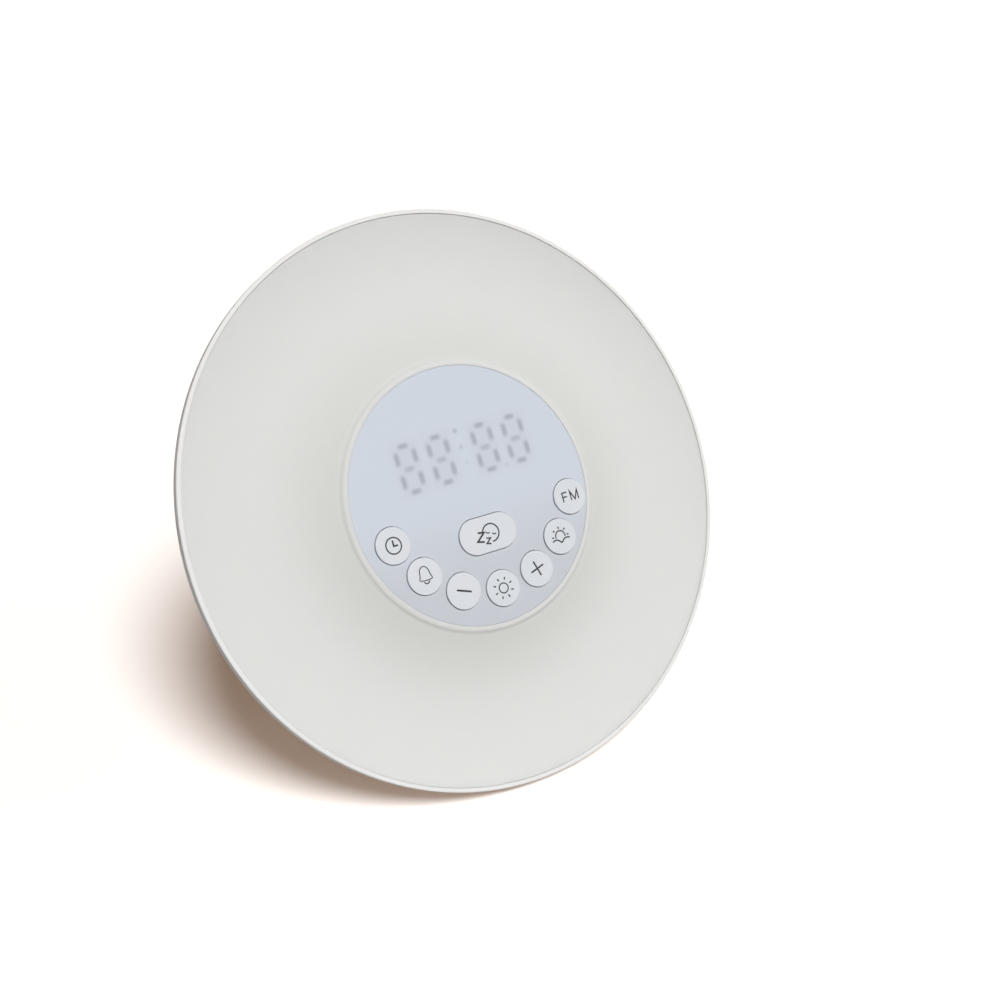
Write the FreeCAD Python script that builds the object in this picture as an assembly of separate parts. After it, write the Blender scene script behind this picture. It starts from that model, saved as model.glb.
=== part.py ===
"""Round sunrise alarm clock that leans back on a flat base, in millimetres.

The face frame has its origin at the middle of the lamp's outer edge, X to the right, Y up along the
face and Z out towards the person. Pieces are modelled there, then stood up at the end.
"""
import FreeCAD, Part
import math
import os

V = FreeCAD.Vector

# Overall sizes
CLOCK_DIAMETER = 174.6
LEAN = 30.0
BODY_DEPTH = 72.0
WALL = 2.2
RIM_RADIUS = CLOCK_DIAMETER / 2

# Rim and the shadow gap behind it
LIP_WIDTH = 1.3
LIP_HEIGHT = 0.35
LIP_EDGE = 0.15
LIP_ROUND = 0.45
SIDE_END = -2.9
SIDE_EDGE = 0.25
SHELL_FRONT = -4.1
GAP_RADIUS = 86.5
SKIRT_OUTER = 83.0
SKIRT_INNER = 81.4
SKIRT_END = -9.0
LEDGE = -2.25
LEDGE_INNER = 84.8
RIM_BOSS = 2.5
RIM_BOSS_TOP = -5.7

# Lamp dish: a valley of one arc between the rim and the bead round the panel
DISH_OUTER = 85.95
DISH_ROUND = 0.1
DISH_EDGE = DISH_OUTER - DISH_ROUND
DISH_LAND = -2.2
VALLEY_RADIUS = 65.0
VALLEY_ARC = 66.0
VALLEY_DEPTH = VALLEY_ARC - math.sqrt(VALLEY_ARC ** 2 - (DISH_EDGE - VALLEY_RADIUS) ** 2)
DISH_WALL = 1.6
BEAD = 1.5
BEAD_FLAT = 0.6
BEAD_TOP = 2.05
BEAD_FILLET = 2.0
COLLAR_INNER = 39.15
COLLAR_OUTER = 41.0
COLLAR_TOP = -1.6
COLLAR_END = -5.0
COLLAR_ROOT = 43.0

# Panel and keys
PANEL_RADIUS = 39.1
PANEL_TOP = 2.0
PANEL_BOTTOM = 0.4
KEY_RADIUS = 5.5
KEY_GAP = 0.2
KEY_TOP = 2.6
KEY_EDGE = 0.2
KEY_FLANGE = 0.3
FLANGE_TOP = PANEL_BOTTOM - 0.1
FLANGE_LOW = FLANGE_TOP - 1.0
KEY_STEM = 1.6
KEY_TRAVEL = 0.5
KEY_CLEARANCE = 0.3
KEY_ARC = 32.63
KEY_ARC_CENTRE = (1.38, 3.37)
KEY_PITCH = 23.0
KEY_TURN = -0.65
KEY_NAMES = ("clock", "bell", "minus", "sun", "plus", "sunset", "fm")
SNOOZE_LENGTH = 19.2
SNOOZE_WIDTH = 10.9
SNOOZE_X = 1.14
SNOOZE_Y = -12.45

# Boards behind the panel
BOARD = 1.6
BOARD_HOLE = 1.2
PILOT_HOLE = 1.0
SCREW_SHANK = 0.9
KEY_BOARD_TOP = -8.0
KEY_BOARD_RADIUS = 37.2
KEY_SCREWS = (50.0, 130.0, 270.0)
KEY_SCREW_RADIUS = 35.4
SWITCH_TOP = -4.5
PLUNGER_TOP = -3.0
PLUNGER_RADIUS = 1.75
SWITCH_HALF = 3.0
SWITCH_REACH = 31.2
LEDGE_RADIUS = 33.8

# Digit block
DISPLAY_X = 1.0
DISPLAY_Y = 12.5
DISPLAY_LENGTH = 50.3
DISPLAY_HEIGHT = 19.0
DISPLAY_TOP = -0.2
DIGIT_X = (-18.4, -7.6, 7.6, 18.4)
DIGIT_WIDTH = 5.9
DIGIT_RISE = 6.85
STROKE = 1.2
STROKE_GAP = 0.25
COLON_X = -0.4
COLON_Y = (-3.2, 1.8, 6.9)
POINT_X = 13.0
GASKET_HALF = (23.4, 8.2)

# Reflector dish and lamp board
DISH_FLOOR = -26.0
DISH_HOLE = 31.0
DISH_FLANGE = 82.4
REFLECTOR_WALL = 1.6
REFLECTOR_MOUTH = 75.4
REFLECTOR_FOOT = 69.8
REFLECTOR_STEP = (76.9, 70.9)
MAIN_POST = 3.0
LEAD_HOLE = 3.0
LEAD_Y = 43.5
FRAME_SCREW_RADIUS = 79.2
CARRIER_OUTER = 39.0
CARRIER_WALL = 1.6
CARRIER_COLLAR = 42.5
CARRIER_SCREW_RADIUS = 36.0
KEY_BOSS = 2.0
FLOOR_BOSS = 2.2
LAMP_INNER = 47.0
LAMP_OUTER = 66.0
LAMP_RADIUS = 56.5
LAMP_COUNT = 24

# Main board behind the dish
MAIN_TOP = -36.4
MAIN_BACK = MAIN_TOP - BOARD
MAIN_LENGTH = 74.0
MAIN_WIDTH = 50.0
MAIN_SCREWS = ((33.0, 21.0), (-33.0, 21.0), (-33.0, -21.0), (33.0, -21.0))
RIBBON_X = (-12.0, 0.0)
RIBBON_SOCKET = 5.0
CELL_X = -17.0
CELL_Y = -3.0
CELL_RADIUS = 10.0
CELL_HOLDER = 11.6

# Rear shell: two arcs in section, a flat back, a flat base and four screw wells
BACK_RADIUS = 44.0
BACK_ARC = 24.0
BACK_ARC_ANGLE = -30.0
SHELL_MOUTH = 87.0
WELL_RADIUS = 3.2
WELL_WALL = 1.0
WELL_SEAT = -40.0
WELL_END = -34.0
WELLS = ((44.0, 36.0), (-44.0, 36.0), (-47.0, -22.0), (47.0, -22.0))
SHELL_SCREW = 1.15
SHELL_SCREW_HEAD = 2.8
RIM_LIFT = 0.92
FOOT_STAND = 1.2
FOOT_SUNK = 1.0
FOOT_RADIUS = 5.0
FEET = ((14.0, -28.0), (-14.0, -28.0), (-22.0, 27.0), (22.0, 27.0))

# Speaker, sockets and the cable outlet in the back
BACK_INSIDE = -BODY_DEPTH + WALL
SPEAKER_Y = 8.0
SPEAKER_RADIUS = 24.0
SPEAKER_POST_RADIUS = 26.6
SPEAKER_POST = 2.4
SPEAKER_OPENING = 20.5
GASKET_TOP = BACK_INSIDE + 0.8
FRAME_TOP = BACK_INSIDE + 2.0
MAGNET_LOW = -57.4
MAGNET_RADIUS = 15.0
COIL_OUTER = 5.8
COIL_INNER = 5.2
COIL_TOP = -54.5
GRILLE_PITCH = 3.6
GRILLE_HOLE = 1.0
GRILLE_RINGS = 5
SOCKET_Y = -31.0
USB_X = -12.0
USB_WIDTH = 7.8
USB_HEIGHT = 2.9
USB_WALL = 0.3
USB_POSTS = ((-18.0, -62.0), (8.0, -62.0))
USB_POST_RADIUS = 2.8
USB_BOARD_TOP = SOCKET_Y - USB_HEIGHT / 2
RESET_X = 3.0
RESET_FACE = -65.0
RESET_PEG = 1.0
RESET_PINHOLE = 0.8
ANTENNA_X = 18.0
ANTENNA_HOLE = 2.6

# Insulated wires inside
LEAD_RADIUS = 0.6
LEAD_SPREAD = 1.6


def block(x, y, z):
    """Box between the low and high value of each axis."""
    return Part.makeBox(x[1] - x[0], y[1] - y[0], z[1] - z[0], V(x[0], y[0], z[0]))


def disc(radius, low, high, x=0.0, y=0.0):
    """Round bar along Z."""
    return Part.makeCylinder(radius, high - low, V(x, y, low))


def tube(outer, inner, low, high, x=0.0, y=0.0):
    """Round bar along Z with a bore."""
    return disc(outer, low, high, x, y).cut(disc(inner, low - 1, high + 1, x, y))


def pill(length, width, low, high, x=0.0, y=0.0):
    """Bar along Z whose section has straight long sides and round ends."""
    reach = (length - width) / 2
    middle = block((x - reach, x + reach), (y - width / 2, y + width / 2), (low, high))
    ends = [disc(width / 2, low, high, x + side * reach, y) for side in (-1, 1)]
    return middle.fuse(ends).removeSplitter()


def turned(*steps):
    """Solid turned about Z from (radius, z) steps; a step of two points is an arc's middle and end."""
    def place(point):
        return V(point[0], 0, point[1])

    edges = []
    here = place(steps[0])
    for step in steps[1:] + (steps[0],):
        arc = isinstance(step[0], tuple)
        end = place(step[1] if arc else step)
        if arc:
            edges.append(Part.Arc(here, place(step[0]), end).toShape())
        else:
            edges.append(Part.makeLine(here, end))
        here = end
    return Part.Face(Part.Wire(edges)).revolve(V(0, 0, 0), V(0, 0, 1), 360)


def on_circle(centre, radius, degrees):
    """Point (radius, z) on a circle of the section."""
    turn = math.radians(degrees)
    return (centre[0] + radius * math.cos(turn), centre[1] + radius * math.sin(turn))


def around(radius, angles):
    """Points (x, y) on a circle about Z."""
    return [(radius * math.cos(math.radians(a)), radius * math.sin(math.radians(a))) for a in angles]


def every(count, first=0.0):
    """Angles that divide a full turn evenly."""
    return [first + 360.0 * index / count for index in range(count)]


def joined(shapes):
    """One solid from shapes that touch or overlap."""
    return shapes[0].fuse(shapes[1:]).removeSplitter()


def screws(places, head_radius, head, shank_radius, tip):
    """Group of pan-head screws along Z; head is (seat, top) and each shank runs from the seat to the tip."""
    low, high = sorted(head)
    seat = head[0]
    made = []
    for x, y in places:
        cap = disc(head_radius, low, high, x, y)
        slot_at = head[1]
        drive = block((x - 0.3, x + 0.3), (y - head_radius * 0.6, y + head_radius * 0.6),
                      (slot_at - 0.5, slot_at + 0.5))
        cross = block((x - head_radius * 0.6, x + head_radius * 0.6), (y - 0.3, y + 0.3),
                      (slot_at - 0.5, slot_at + 0.5))
        shank = disc(shank_radius, min(seat, tip), max(seat, tip), x, y)
        made.append(cap.fuse(shank).removeSplitter().cut([drive, cross]))
    return Part.makeCompound(made)


def wire_path(points):
    """Straight runs joined by tangent arcs, each as large as its two runs allow."""
    points = [V(*point) for point in points]
    edges = []
    start = points[0]
    for before, corner, after in zip(points, points[1:], points[2:]):
        into = (corner - before).normalize()
        away = (after - corner).normalize()
        turn = into.getAngle(away)
        setback = 0.45 * min((corner - before).Length, (after - corner).Length)
        arc_start = corner - into * setback
        arc_end = corner + away * setback
        inward = (away - into).normalize()
        radius = setback / math.tan(turn / 2)
        middle = corner + inward * (radius / math.cos(turn / 2) - radius)
        edges.append(Part.makeLine(start, arc_start))
        edges.append(Part.Arc(arc_start, middle, arc_end).toShape())
        start = arc_end
    edges.append(Part.makeLine(start, points[-1]))
    return Part.Wire(edges)


def lead(points, radius):
    """Insulated wire along a path."""
    path = wire_path(points)
    begin = V(*points[0])
    profile = Part.Wire(Part.makeCircle(radius, begin, V(*points[1]) - begin))
    return path.makePipeShell([profile], True, False)


def lead_pair(points, radius, spread):
    """Two wires side by side, a little apart along X."""
    sides = (-spread / 2, spread / 2)
    return Part.makeCompound([lead([(x + side, y, z) for x, y, z in points], radius) for side in sides])


def stood(shape, back=False):
    """Turn a shape from the upright frame into the face frame, or back again."""
    copy = shape.copy()
    copy.rotate(V(0, 0, 0), V(1, 0, 0), (90 - LEAN) * (1 if back else -1))
    return copy


def height_of(radius, depth):
    """Upright height of the lowest point of a circle round Z at that depth."""
    return -radius * math.cos(math.radians(LEAN)) + depth * math.sin(math.radians(LEAN))


TABLE = height_of(RIM_RADIUS, SIDE_END) - RIM_LIFT
BASE = TABLE + FOOT_STAND


def under(height):
    """Everything below a level plane, in the face frame."""
    return stood(block((-200, 200), (-300, 300), (height - 200, height)))


# Front of the lamp

def valley_z(radius, arc=VALLEY_ARC):
    """Height of the valley's surface at a radius; a longer arc gives its back face."""
    top = VALLEY_ARC - VALLEY_DEPTH
    return top - math.sqrt(arc ** 2 - (radius - VALLEY_RADIUS) ** 2)


def front_diffuser():
    """Opal dish: the valley's arc, a fillet up to the bead round the panel, and a collar behind it."""
    valley = (VALLEY_RADIUS, VALLEY_ARC - VALLEY_DEPTH)
    bead = (COLLAR_INNER + BEAD_FLAT, BEAD_TOP - BEAD)
    apart = math.hypot(valley[0] - bead[0], valley[1] - bead[1])
    from_bead = BEAD + BEAD_FILLET
    from_valley = VALLEY_ARC - BEAD_FILLET
    along = (from_bead ** 2 - from_valley ** 2 + apart ** 2) / (2 * apart)
    across = math.sqrt(from_bead ** 2 - along ** 2)
    unit = ((valley[0] - bead[0]) / apart, (valley[1] - bead[1]) / apart)
    fillet = (bead[0] + unit[0] * along + unit[1] * across, bead[1] + unit[1] * along - unit[0] * across)
    to_bead = math.degrees(math.atan2(bead[1] - fillet[1], bead[0] - fillet[0]))
    to_valley = math.degrees(math.atan2(fillet[1] - valley[1], fillet[0] - valley[0]))
    bead_end = to_bead + 180
    fillet_stop = to_valley % 360
    fillet_from = to_bead % 360
    back = VALLEY_ARC + DISH_WALL
    land_radius = VALLEY_RADIUS + math.sqrt(back ** 2 - (valley[1] - DISH_LAND) ** 2)
    return turned(
        (COLLAR_INNER, COLLAR_END),
        (COLLAR_INNER, BEAD_TOP),
        (COLLAR_INNER + BEAD_FLAT, BEAD_TOP),
        (on_circle(bead, BEAD, (90 + bead_end % 360) / 2), on_circle(bead, BEAD, bead_end)),
        (on_circle(fillet, BEAD_FILLET, (fillet_from + fillet_stop) / 2),
         on_circle(fillet, BEAD_FILLET, fillet_stop)),
        ((VALLEY_RADIUS, valley_z(VALLEY_RADIUS)), (DISH_EDGE, valley_z(DISH_EDGE))),
        (on_circle((DISH_EDGE, -DISH_ROUND), DISH_ROUND, 45), (DISH_OUTER, -DISH_ROUND)),
        (DISH_OUTER, DISH_LAND),
        (land_radius, DISH_LAND),
        ((VALLEY_RADIUS, valley_z(VALLEY_RADIUS, back)), (COLLAR_ROOT, valley_z(COLLAR_ROOT, back))),
        (COLLAR_OUTER, COLLAR_TOP),
        (COLLAR_OUTER, COLLAR_END),
    )


def rim_ring():
    """Rim with a flat-topped lip, a ledge under the lamp dish, a skirt into the shell and screw bosses."""
    lip_inner = RIM_RADIUS - LIP_WIDTH
    inner_edge = (lip_inner + LIP_EDGE, LIP_HEIGHT - LIP_EDGE)
    outer_edge = (RIM_RADIUS - LIP_ROUND, LIP_HEIGHT - LIP_ROUND)
    side_edge = (RIM_RADIUS - SIDE_EDGE, SIDE_END + SIDE_EDGE)
    ring = turned(
        (LEDGE_INNER, LEDGE),
        (lip_inner, LEDGE),
        (lip_inner, inner_edge[1]),
        (on_circle(inner_edge, LIP_EDGE, 135), (inner_edge[0], LIP_HEIGHT)),
        (outer_edge[0], LIP_HEIGHT),
        (on_circle(outer_edge, LIP_ROUND, 45), (RIM_RADIUS, outer_edge[1])),
        (RIM_RADIUS, SIDE_END + SIDE_EDGE),
        (on_circle(side_edge, SIDE_EDGE, -45), (RIM_RADIUS - SIDE_EDGE, SIDE_END)),
        (GAP_RADIUS, SHELL_FRONT),
        (SKIRT_OUTER, SHELL_FRONT),
        (SKIRT_OUTER, SKIRT_END),
        (SKIRT_INNER, SKIRT_END),
        (SKIRT_INNER, SHELL_FRONT),
    )
    places = around(FRAME_SCREW_RADIUS, every(6))
    ring = joined([ring] + [disc(RIM_BOSS, SKIRT_END, RIM_BOSS_TOP, x, y) for x, y in places])
    ring = ring.cut([disc(PILOT_HOLE, SKIRT_END - 1, RIM_BOSS_TOP - 0.7, x, y) for x, y in places])
    floor = under(BASE + WALL + 0.15).common(block((-200, 200), (-200, 200), (-60, SHELL_FRONT)))
    return ring.cut(floor)


def key_places():
    """Name and centre of each round key, on one arc from left to right."""
    middle_x, middle_y = KEY_ARC_CENTRE
    angles = [KEY_TURN - 90 + KEY_PITCH * (index - 3) for index in range(len(KEY_NAMES))]
    return [(name, x + middle_x, y + middle_y) for name, (x, y) in zip(KEY_NAMES, around(KEY_ARC, angles))]


def display_panel():
    """Flat disc with a hole for every key and a broken front edge."""
    edge = 0.15
    panel = turned((0, PANEL_BOTTOM), (PANEL_RADIUS, PANEL_BOTTOM), (PANEL_RADIUS, PANEL_TOP - edge),
                   (PANEL_RADIUS - edge, PANEL_TOP), (0, PANEL_TOP))
    low, high = PANEL_BOTTOM - 1, PANEL_TOP + 1
    holes = [disc(KEY_RADIUS + KEY_GAP, low, high, x, y) for _, x, y in key_places()]
    holes.append(pill(SNOOZE_LENGTH + 2 * KEY_GAP, SNOOZE_WIDTH + 2 * KEY_GAP, low, high,
                      SNOOZE_X, SNOOZE_Y))
    return panel.cut(holes)


def round_key(x, y):
    """Key cap with a rolled edge, a flange that keeps it behind the panel and a stem to its switch."""
    bend = KEY_EDGE * (1 - math.sqrt(0.5))
    cap = turned(
        (0, FLANGE_LOW),
        (KEY_RADIUS + KEY_FLANGE, FLANGE_LOW),
        (KEY_RADIUS + KEY_FLANGE, FLANGE_TOP),
        (KEY_RADIUS, FLANGE_TOP),
        (KEY_RADIUS, KEY_TOP - KEY_EDGE),
        ((KEY_RADIUS - bend, KEY_TOP - bend), (KEY_RADIUS - KEY_EDGE, KEY_TOP)),
        (0, KEY_TOP),
    )
    cap.translate(V(x, y, 0))
    return joined([cap, stem(x, y)])


def snooze_key():
    """Long key with round ends, made like the round ones."""
    cap = pill(SNOOZE_LENGTH, SNOOZE_WIDTH, FLANGE_LOW, KEY_TOP, SNOOZE_X, SNOOZE_Y)
    rim = [edge for edge in cap.Edges if edge.BoundBox.ZMin > KEY_TOP - 0.01]
    cap = cap.makeFillet(KEY_EDGE, rim)
    flange = pill(SNOOZE_LENGTH + 2 * KEY_FLANGE, SNOOZE_WIDTH + 2 * KEY_FLANGE, FLANGE_LOW, FLANGE_TOP,
                  SNOOZE_X, SNOOZE_Y)
    return joined([cap, flange, stem(SNOOZE_X, SNOOZE_Y)])


def switch_place(x, y):
    """Centre of a key's switch: under the key, or a little inwards where the carrier's wall is close."""
    inward = min(1.0, SWITCH_REACH / math.hypot(x, y))
    return (x * inward, y * inward)


def stem(x, y):
    """Peg under a key, over its switch."""
    return disc(KEY_STEM, PLUNGER_TOP, FLANGE_LOW + 0.5, *switch_place(x, y))


# Key board and display

def switch_places():
    """Centre of every switch, the snooze key's last."""
    return [switch_place(x, y) for _, x, y in key_places()] + [switch_place(SNOOZE_X, SNOOZE_Y)]


def plunger(x, y):
    """Moving peg of the tact switch that belongs to the key there."""
    return disc(PLUNGER_RADIUS, SWITCH_TOP - 0.8, PLUNGER_TOP, *switch_place(x, y))


def switch_bodies():
    """Square switch cases with four solder feet each, and a bore for the plunger."""
    cases = []
    for x, y in switch_places():
        case = block((x - SWITCH_HALF, x + SWITCH_HALF), (y - SWITCH_HALF, y + SWITCH_HALF),
                     (KEY_BOARD_TOP, SWITCH_TOP))
        feet = [block((x + side * 3.6 - 0.8, x + side * 3.6 + 0.8), (y + row * 2 - 0.4, y + row * 2 + 0.4),
                      (KEY_BOARD_TOP, KEY_BOARD_TOP + 0.3)) for side in (-1, 1) for row in (-1, 1)]
        case = joined([case] + feet)
        cases.append(case.cut(disc(PLUNGER_RADIUS + 0.1, SWITCH_TOP - 1.6, SWITCH_TOP + 1, x, y)))
    return Part.makeCompound(cases)


def key_board():
    """Round board with three screw holes."""
    board = disc(KEY_BOARD_RADIUS, KEY_BOARD_TOP - BOARD, KEY_BOARD_TOP)
    places = around(KEY_SCREW_RADIUS, KEY_SCREWS)
    return board.cut([disc(BOARD_HOLE, KEY_BOARD_TOP - 5, KEY_BOARD_TOP + 1, x, y) for x, y in places])


def key_board_screws():
    """Three screws down into the carrier's ledge."""
    places = around(KEY_SCREW_RADIUS, KEY_SCREWS)
    return screws(places, 1.8, (KEY_BOARD_TOP, KEY_BOARD_TOP + 1.1), SCREW_SHANK, KEY_BOARD_TOP - 5)


def display_module():
    """Block that holds the digits' lamps."""
    return block((DISPLAY_X - DISPLAY_LENGTH / 2, DISPLAY_X + DISPLAY_LENGTH / 2),
                 (DISPLAY_Y - DISPLAY_HEIGHT / 2, DISPLAY_Y + DISPLAY_HEIGHT / 2),
                 (KEY_BOARD_TOP, DISPLAY_TOP))


def stroke_places():
    """Centre and (width, height) of every lit window: seven strokes a digit, three colon dots, one point."""
    half = DIGIT_WIDTH / 2
    long_way = DIGIT_RISE - STROKE - 2 * STROKE_GAP
    short_way = DIGIT_WIDTH - STROKE - 2 * STROKE_GAP
    windows = []
    for digit in DIGIT_X:
        for row in (-1, 0, 1):
            windows.append((digit, row * DIGIT_RISE, short_way, STROKE))
        for side in (-1, 1):
            for row in (-0.5, 0.5):
                windows.append((digit + side * half, row * DIGIT_RISE, STROKE, long_way))
    for rise in COLON_Y:
        windows.append((COLON_X, rise, STROKE, STROKE))
    windows.append((POINT_X, -DIGIT_RISE, STROKE, STROKE))
    return windows


def display_digits():
    """Clear windows in the block's front, one for each stroke and dot."""
    low, high = DISPLAY_TOP, DISPLAY_TOP + 0.2
    windows = []
    for x, y, wide, tall in stroke_places():
        middle_x, middle_y = DISPLAY_X + x, DISPLAY_Y + y
        if wide > tall:
            windows.append(pill(wide, tall, low, high, middle_x, middle_y))
        else:
            windows.append(block((middle_x - wide / 2, middle_x + wide / 2),
                                 (middle_y - tall / 2, middle_y + tall / 2), (low, high)))
    return Part.makeCompound(windows)


def display_gasket():
    """Foam frame between the block and the panel."""
    outer = block((DISPLAY_X - DISPLAY_LENGTH / 2, DISPLAY_X + DISPLAY_LENGTH / 2),
                  (DISPLAY_Y - DISPLAY_HEIGHT / 2, DISPLAY_Y + DISPLAY_HEIGHT / 2),
                  (DISPLAY_TOP, PANEL_BOTTOM))
    wide, tall = GASKET_HALF
    inner = block((DISPLAY_X - wide, DISPLAY_X + wide), (DISPLAY_Y - tall, DISPLAY_Y + tall), (-2, 2))
    return outer.cut(inner)


def panel_carrier():
    """Cup that holds the panel on its edge, the key board on a ledge, and stands on the dish's floor. Its
    wall is notched where a key's flange comes close."""
    inner = CARRIER_OUTER - CARRIER_WALL
    ledge_top = KEY_BOARD_TOP - BOARD
    parts = [
        tube(CARRIER_OUTER, inner, DISH_FLOOR, PANEL_BOTTOM),
        tube(CARRIER_COLLAR, inner, COLLAR_END - 2, COLLAR_END),
        tube(CARRIER_OUTER, LEDGE_RADIUS, ledge_top - CARRIER_WALL, ledge_top),
    ]
    key_bosses = around(KEY_SCREW_RADIUS, KEY_SCREWS)
    floor_bosses = around(CARRIER_SCREW_RADIUS, every(3))
    parts += [disc(KEY_BOSS, ledge_top - 5, ledge_top, x, y) for x, y in key_bosses]
    parts += [disc(FLOOR_BOSS, DISH_FLOOR, DISH_FLOOR + 9, x, y) for x, y in floor_bosses]
    notch = KEY_RADIUS + KEY_FLANGE + KEY_CLEARANCE
    cuts = [disc(notch, FLANGE_LOW - KEY_TRAVEL - KEY_CLEARANCE, PANEL_BOTTOM + 1, x, y)
            for _, x, y in key_places()]
    cuts += [disc(PILOT_HOLE, ledge_top - 4, ledge_top + 1, x, y) for x, y in key_bosses]
    cuts += [disc(PILOT_HOLE, DISH_FLOOR - 1, DISH_FLOOR + 6, x, y) for x, y in floor_bosses]
    return joined(parts).cut(cuts)


# Lamp behind the dish

def reflector_dish():
    """White dish under the lamp: a flange on the rim's skirt, a sloping wall, a floor and screw posts."""
    thick = REFLECTOR_WALL
    bottom = DISH_FLOOR - thick
    dish = turned(
        (DISH_FLANGE, SKIRT_END),
        (DISH_FLANGE, SKIRT_END - thick),
        (REFLECTOR_STEP[0], SKIRT_END - thick),
        (REFLECTOR_STEP[1], bottom),
        (DISH_HOLE, bottom),
        (DISH_HOLE, DISH_FLOOR),
        (REFLECTOR_FOOT, DISH_FLOOR),
        (REFLECTOR_MOUTH, SKIRT_END),
    )
    posts = [disc(WELL_RADIUS + WELL_WALL, WELL_END, bottom, x, y) for x, y in WELLS]
    posts += [disc(MAIN_POST, MAIN_TOP, bottom, x, y) for x, y in MAIN_SCREWS]
    cuts = [disc(SHELL_SCREW + 0.1, WELL_END - 1, DISH_FLOOR - 0.6, x, y) for x, y in WELLS]
    cuts += [disc(PILOT_HOLE, MAIN_TOP - 1, bottom, x, y) for x, y in MAIN_SCREWS]
    cuts += [disc(BOARD_HOLE + 0.1, -15, 0, x, y) for x, y in around(FRAME_SCREW_RADIUS, every(6))]
    cuts += [disc(BOARD_HOLE, -30, -20, x, y) for x, y in around(CARRIER_SCREW_RADIUS, every(3))]
    cuts += [disc(PILOT_HOLE, DISH_FLOOR - 1.2, -20, x, y) for x, y in lamp_screw_places()]
    cuts.append(disc(LEAD_HOLE, -30, -20, 0, LEAD_Y))
    return joined([dish] + posts).cut(cuts + [under(BASE + WALL + 0.15)])


def lamp_screw_places():
    """Four screws of the lamp board, between the lamps."""
    return around(LAMP_OUTER - 2.6, every(4, 45.0))


def lamp_board():
    """Ring-shaped board with four screw holes."""
    ring = tube(LAMP_OUTER, LAMP_INNER, DISH_FLOOR, DISH_FLOOR + BOARD)
    return ring.cut([disc(BOARD_HOLE, -30, -20, x, y) for x, y in lamp_screw_places()])


def lamps(first, size, high):
    """Every second lamp round the ring: a case with a round window, turned to face along its radius."""
    base = DISH_FLOOR + BOARD
    made = []
    for angle in every(LAMP_COUNT // 2, first):
        case = block((LAMP_RADIUS - size / 2, LAMP_RADIUS + size / 2), (-size / 2, size / 2),
                     (base, base + high))
        case = case.cut(disc(size * 0.38, base + high - 0.3, base + high + 1, LAMP_RADIUS))
        case.rotate(V(0, 0, 0), V(0, 0, 1), angle)
        made.append(case)
    return Part.makeCompound(made)


def lamp_leds_white():
    """White lamps."""
    return lamps(0.0, 3.5, 1.2)


def lamp_leds_colour():
    """Colour lamps, a size larger."""
    return lamps(180.0 / (LAMP_COUNT // 2), 5.0, 1.6)


def lamp_board_screws():
    """Four short screws into the dish's floor."""
    top = DISH_FLOOR + BOARD
    return screws(lamp_screw_places(), 1.8, (top, top + 1.1), SCREW_SHANK, DISH_FLOOR - 1.1)


def carrier_screws():
    """Three screws up through the dish's floor into the carrier."""
    seat = DISH_FLOOR - REFLECTOR_WALL
    places = around(CARRIER_SCREW_RADIUS, every(3))
    return screws(places, 2.0, (seat, seat - 1.2), SCREW_SHANK, DISH_FLOOR + 5)


def frame_screws():
    """Six screws up through the dish's flange into the rim."""
    seat = SKIRT_END - REFLECTOR_WALL
    places = around(FRAME_SCREW_RADIUS, every(6))
    return screws(places, 2.2, (seat, seat - 1.3), SCREW_SHANK, RIM_BOSS_TOP - 0.9)


# Main board

def main_board():
    """Board that faces the back, on four posts of the dish."""
    board = block((-MAIN_LENGTH / 2, MAIN_LENGTH / 2), (-MAIN_WIDTH / 2, MAIN_WIDTH / 2),
                  (MAIN_BACK, MAIN_TOP))
    return board.cut([disc(BOARD_HOLE + 0.1, MAIN_BACK - 1, MAIN_TOP + 1, x, y) for x, y in MAIN_SCREWS])


def main_board_screws():
    """Four screws into the dish's posts."""
    return screws(MAIN_SCREWS, 2.2, (MAIN_BACK, MAIN_BACK - 1.4), SCREW_SHANK, MAIN_TOP + 6.4)


def standing(places):
    """Boxes on the main board's back, from (x, y, length, width, height)."""
    return Part.makeCompound([block((x - length / 2, x + length / 2), (y - width / 2, y + width / 2),
                                    (MAIN_BACK - high, MAIN_BACK)) for x, y, length, width, high in places])


def board_chips():
    """Controller, radio, amplifier, clock crystal and regulator."""
    return standing(((8, -12, 10, 10, 1.6), (22, 4, 6, 8, 1.4), (10, 16, 5, 6, 1.4),
                     (-2, -19, 3, 8, 2.2), (30, -6, 6.5, 9, 2.3)))


def board_capacitors():
    """Three can capacitors."""
    places = ((29, 10, 4.0, 10.0), (22, 15, 2.5, 7.0), (24, -18, 3.15, 7.5))
    return Part.makeCompound([disc(radius, MAIN_BACK - high, MAIN_BACK, x, y)
                              for x, y, radius, high in places])


def board_connectors():
    """Plug housings for the leads, with the ribbon's socket on the front."""
    sockets = standing(((-32, 10, 6, 8, 6), (-27, -17, 8, 6, 6), (0, 20, 8, 6, 6)))
    wide = (RIBBON_X[0] - 1, RIBBON_X[1] + 1)
    key_back = KEY_BOARD_TOP - BOARD
    on_main = block(wide, (-3, 3), (MAIN_TOP, MAIN_TOP + RIBBON_SOCKET))
    on_keys = block(wide, (-3, 3), (key_back - RIBBON_SOCKET, key_back))
    return Part.makeCompound(sockets.Solids + [on_main, on_keys])


def coin_cell_holder():
    """Round tray open on one side, with a lip over the cell."""
    tray = tube(CELL_HOLDER, CELL_RADIUS + 0.2, MAIN_BACK - 4.4, MAIN_BACK, CELL_X, CELL_Y)
    floor = disc(CELL_HOLDER, MAIN_BACK - 0.8, MAIN_BACK, CELL_X, CELL_Y)
    gate = block((CELL_X - 12, CELL_X - 5), (CELL_Y - 5, CELL_Y + 5), (MAIN_BACK - 5, MAIN_BACK - 0.8))
    return joined([tray, floor]).cut(gate)


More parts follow.
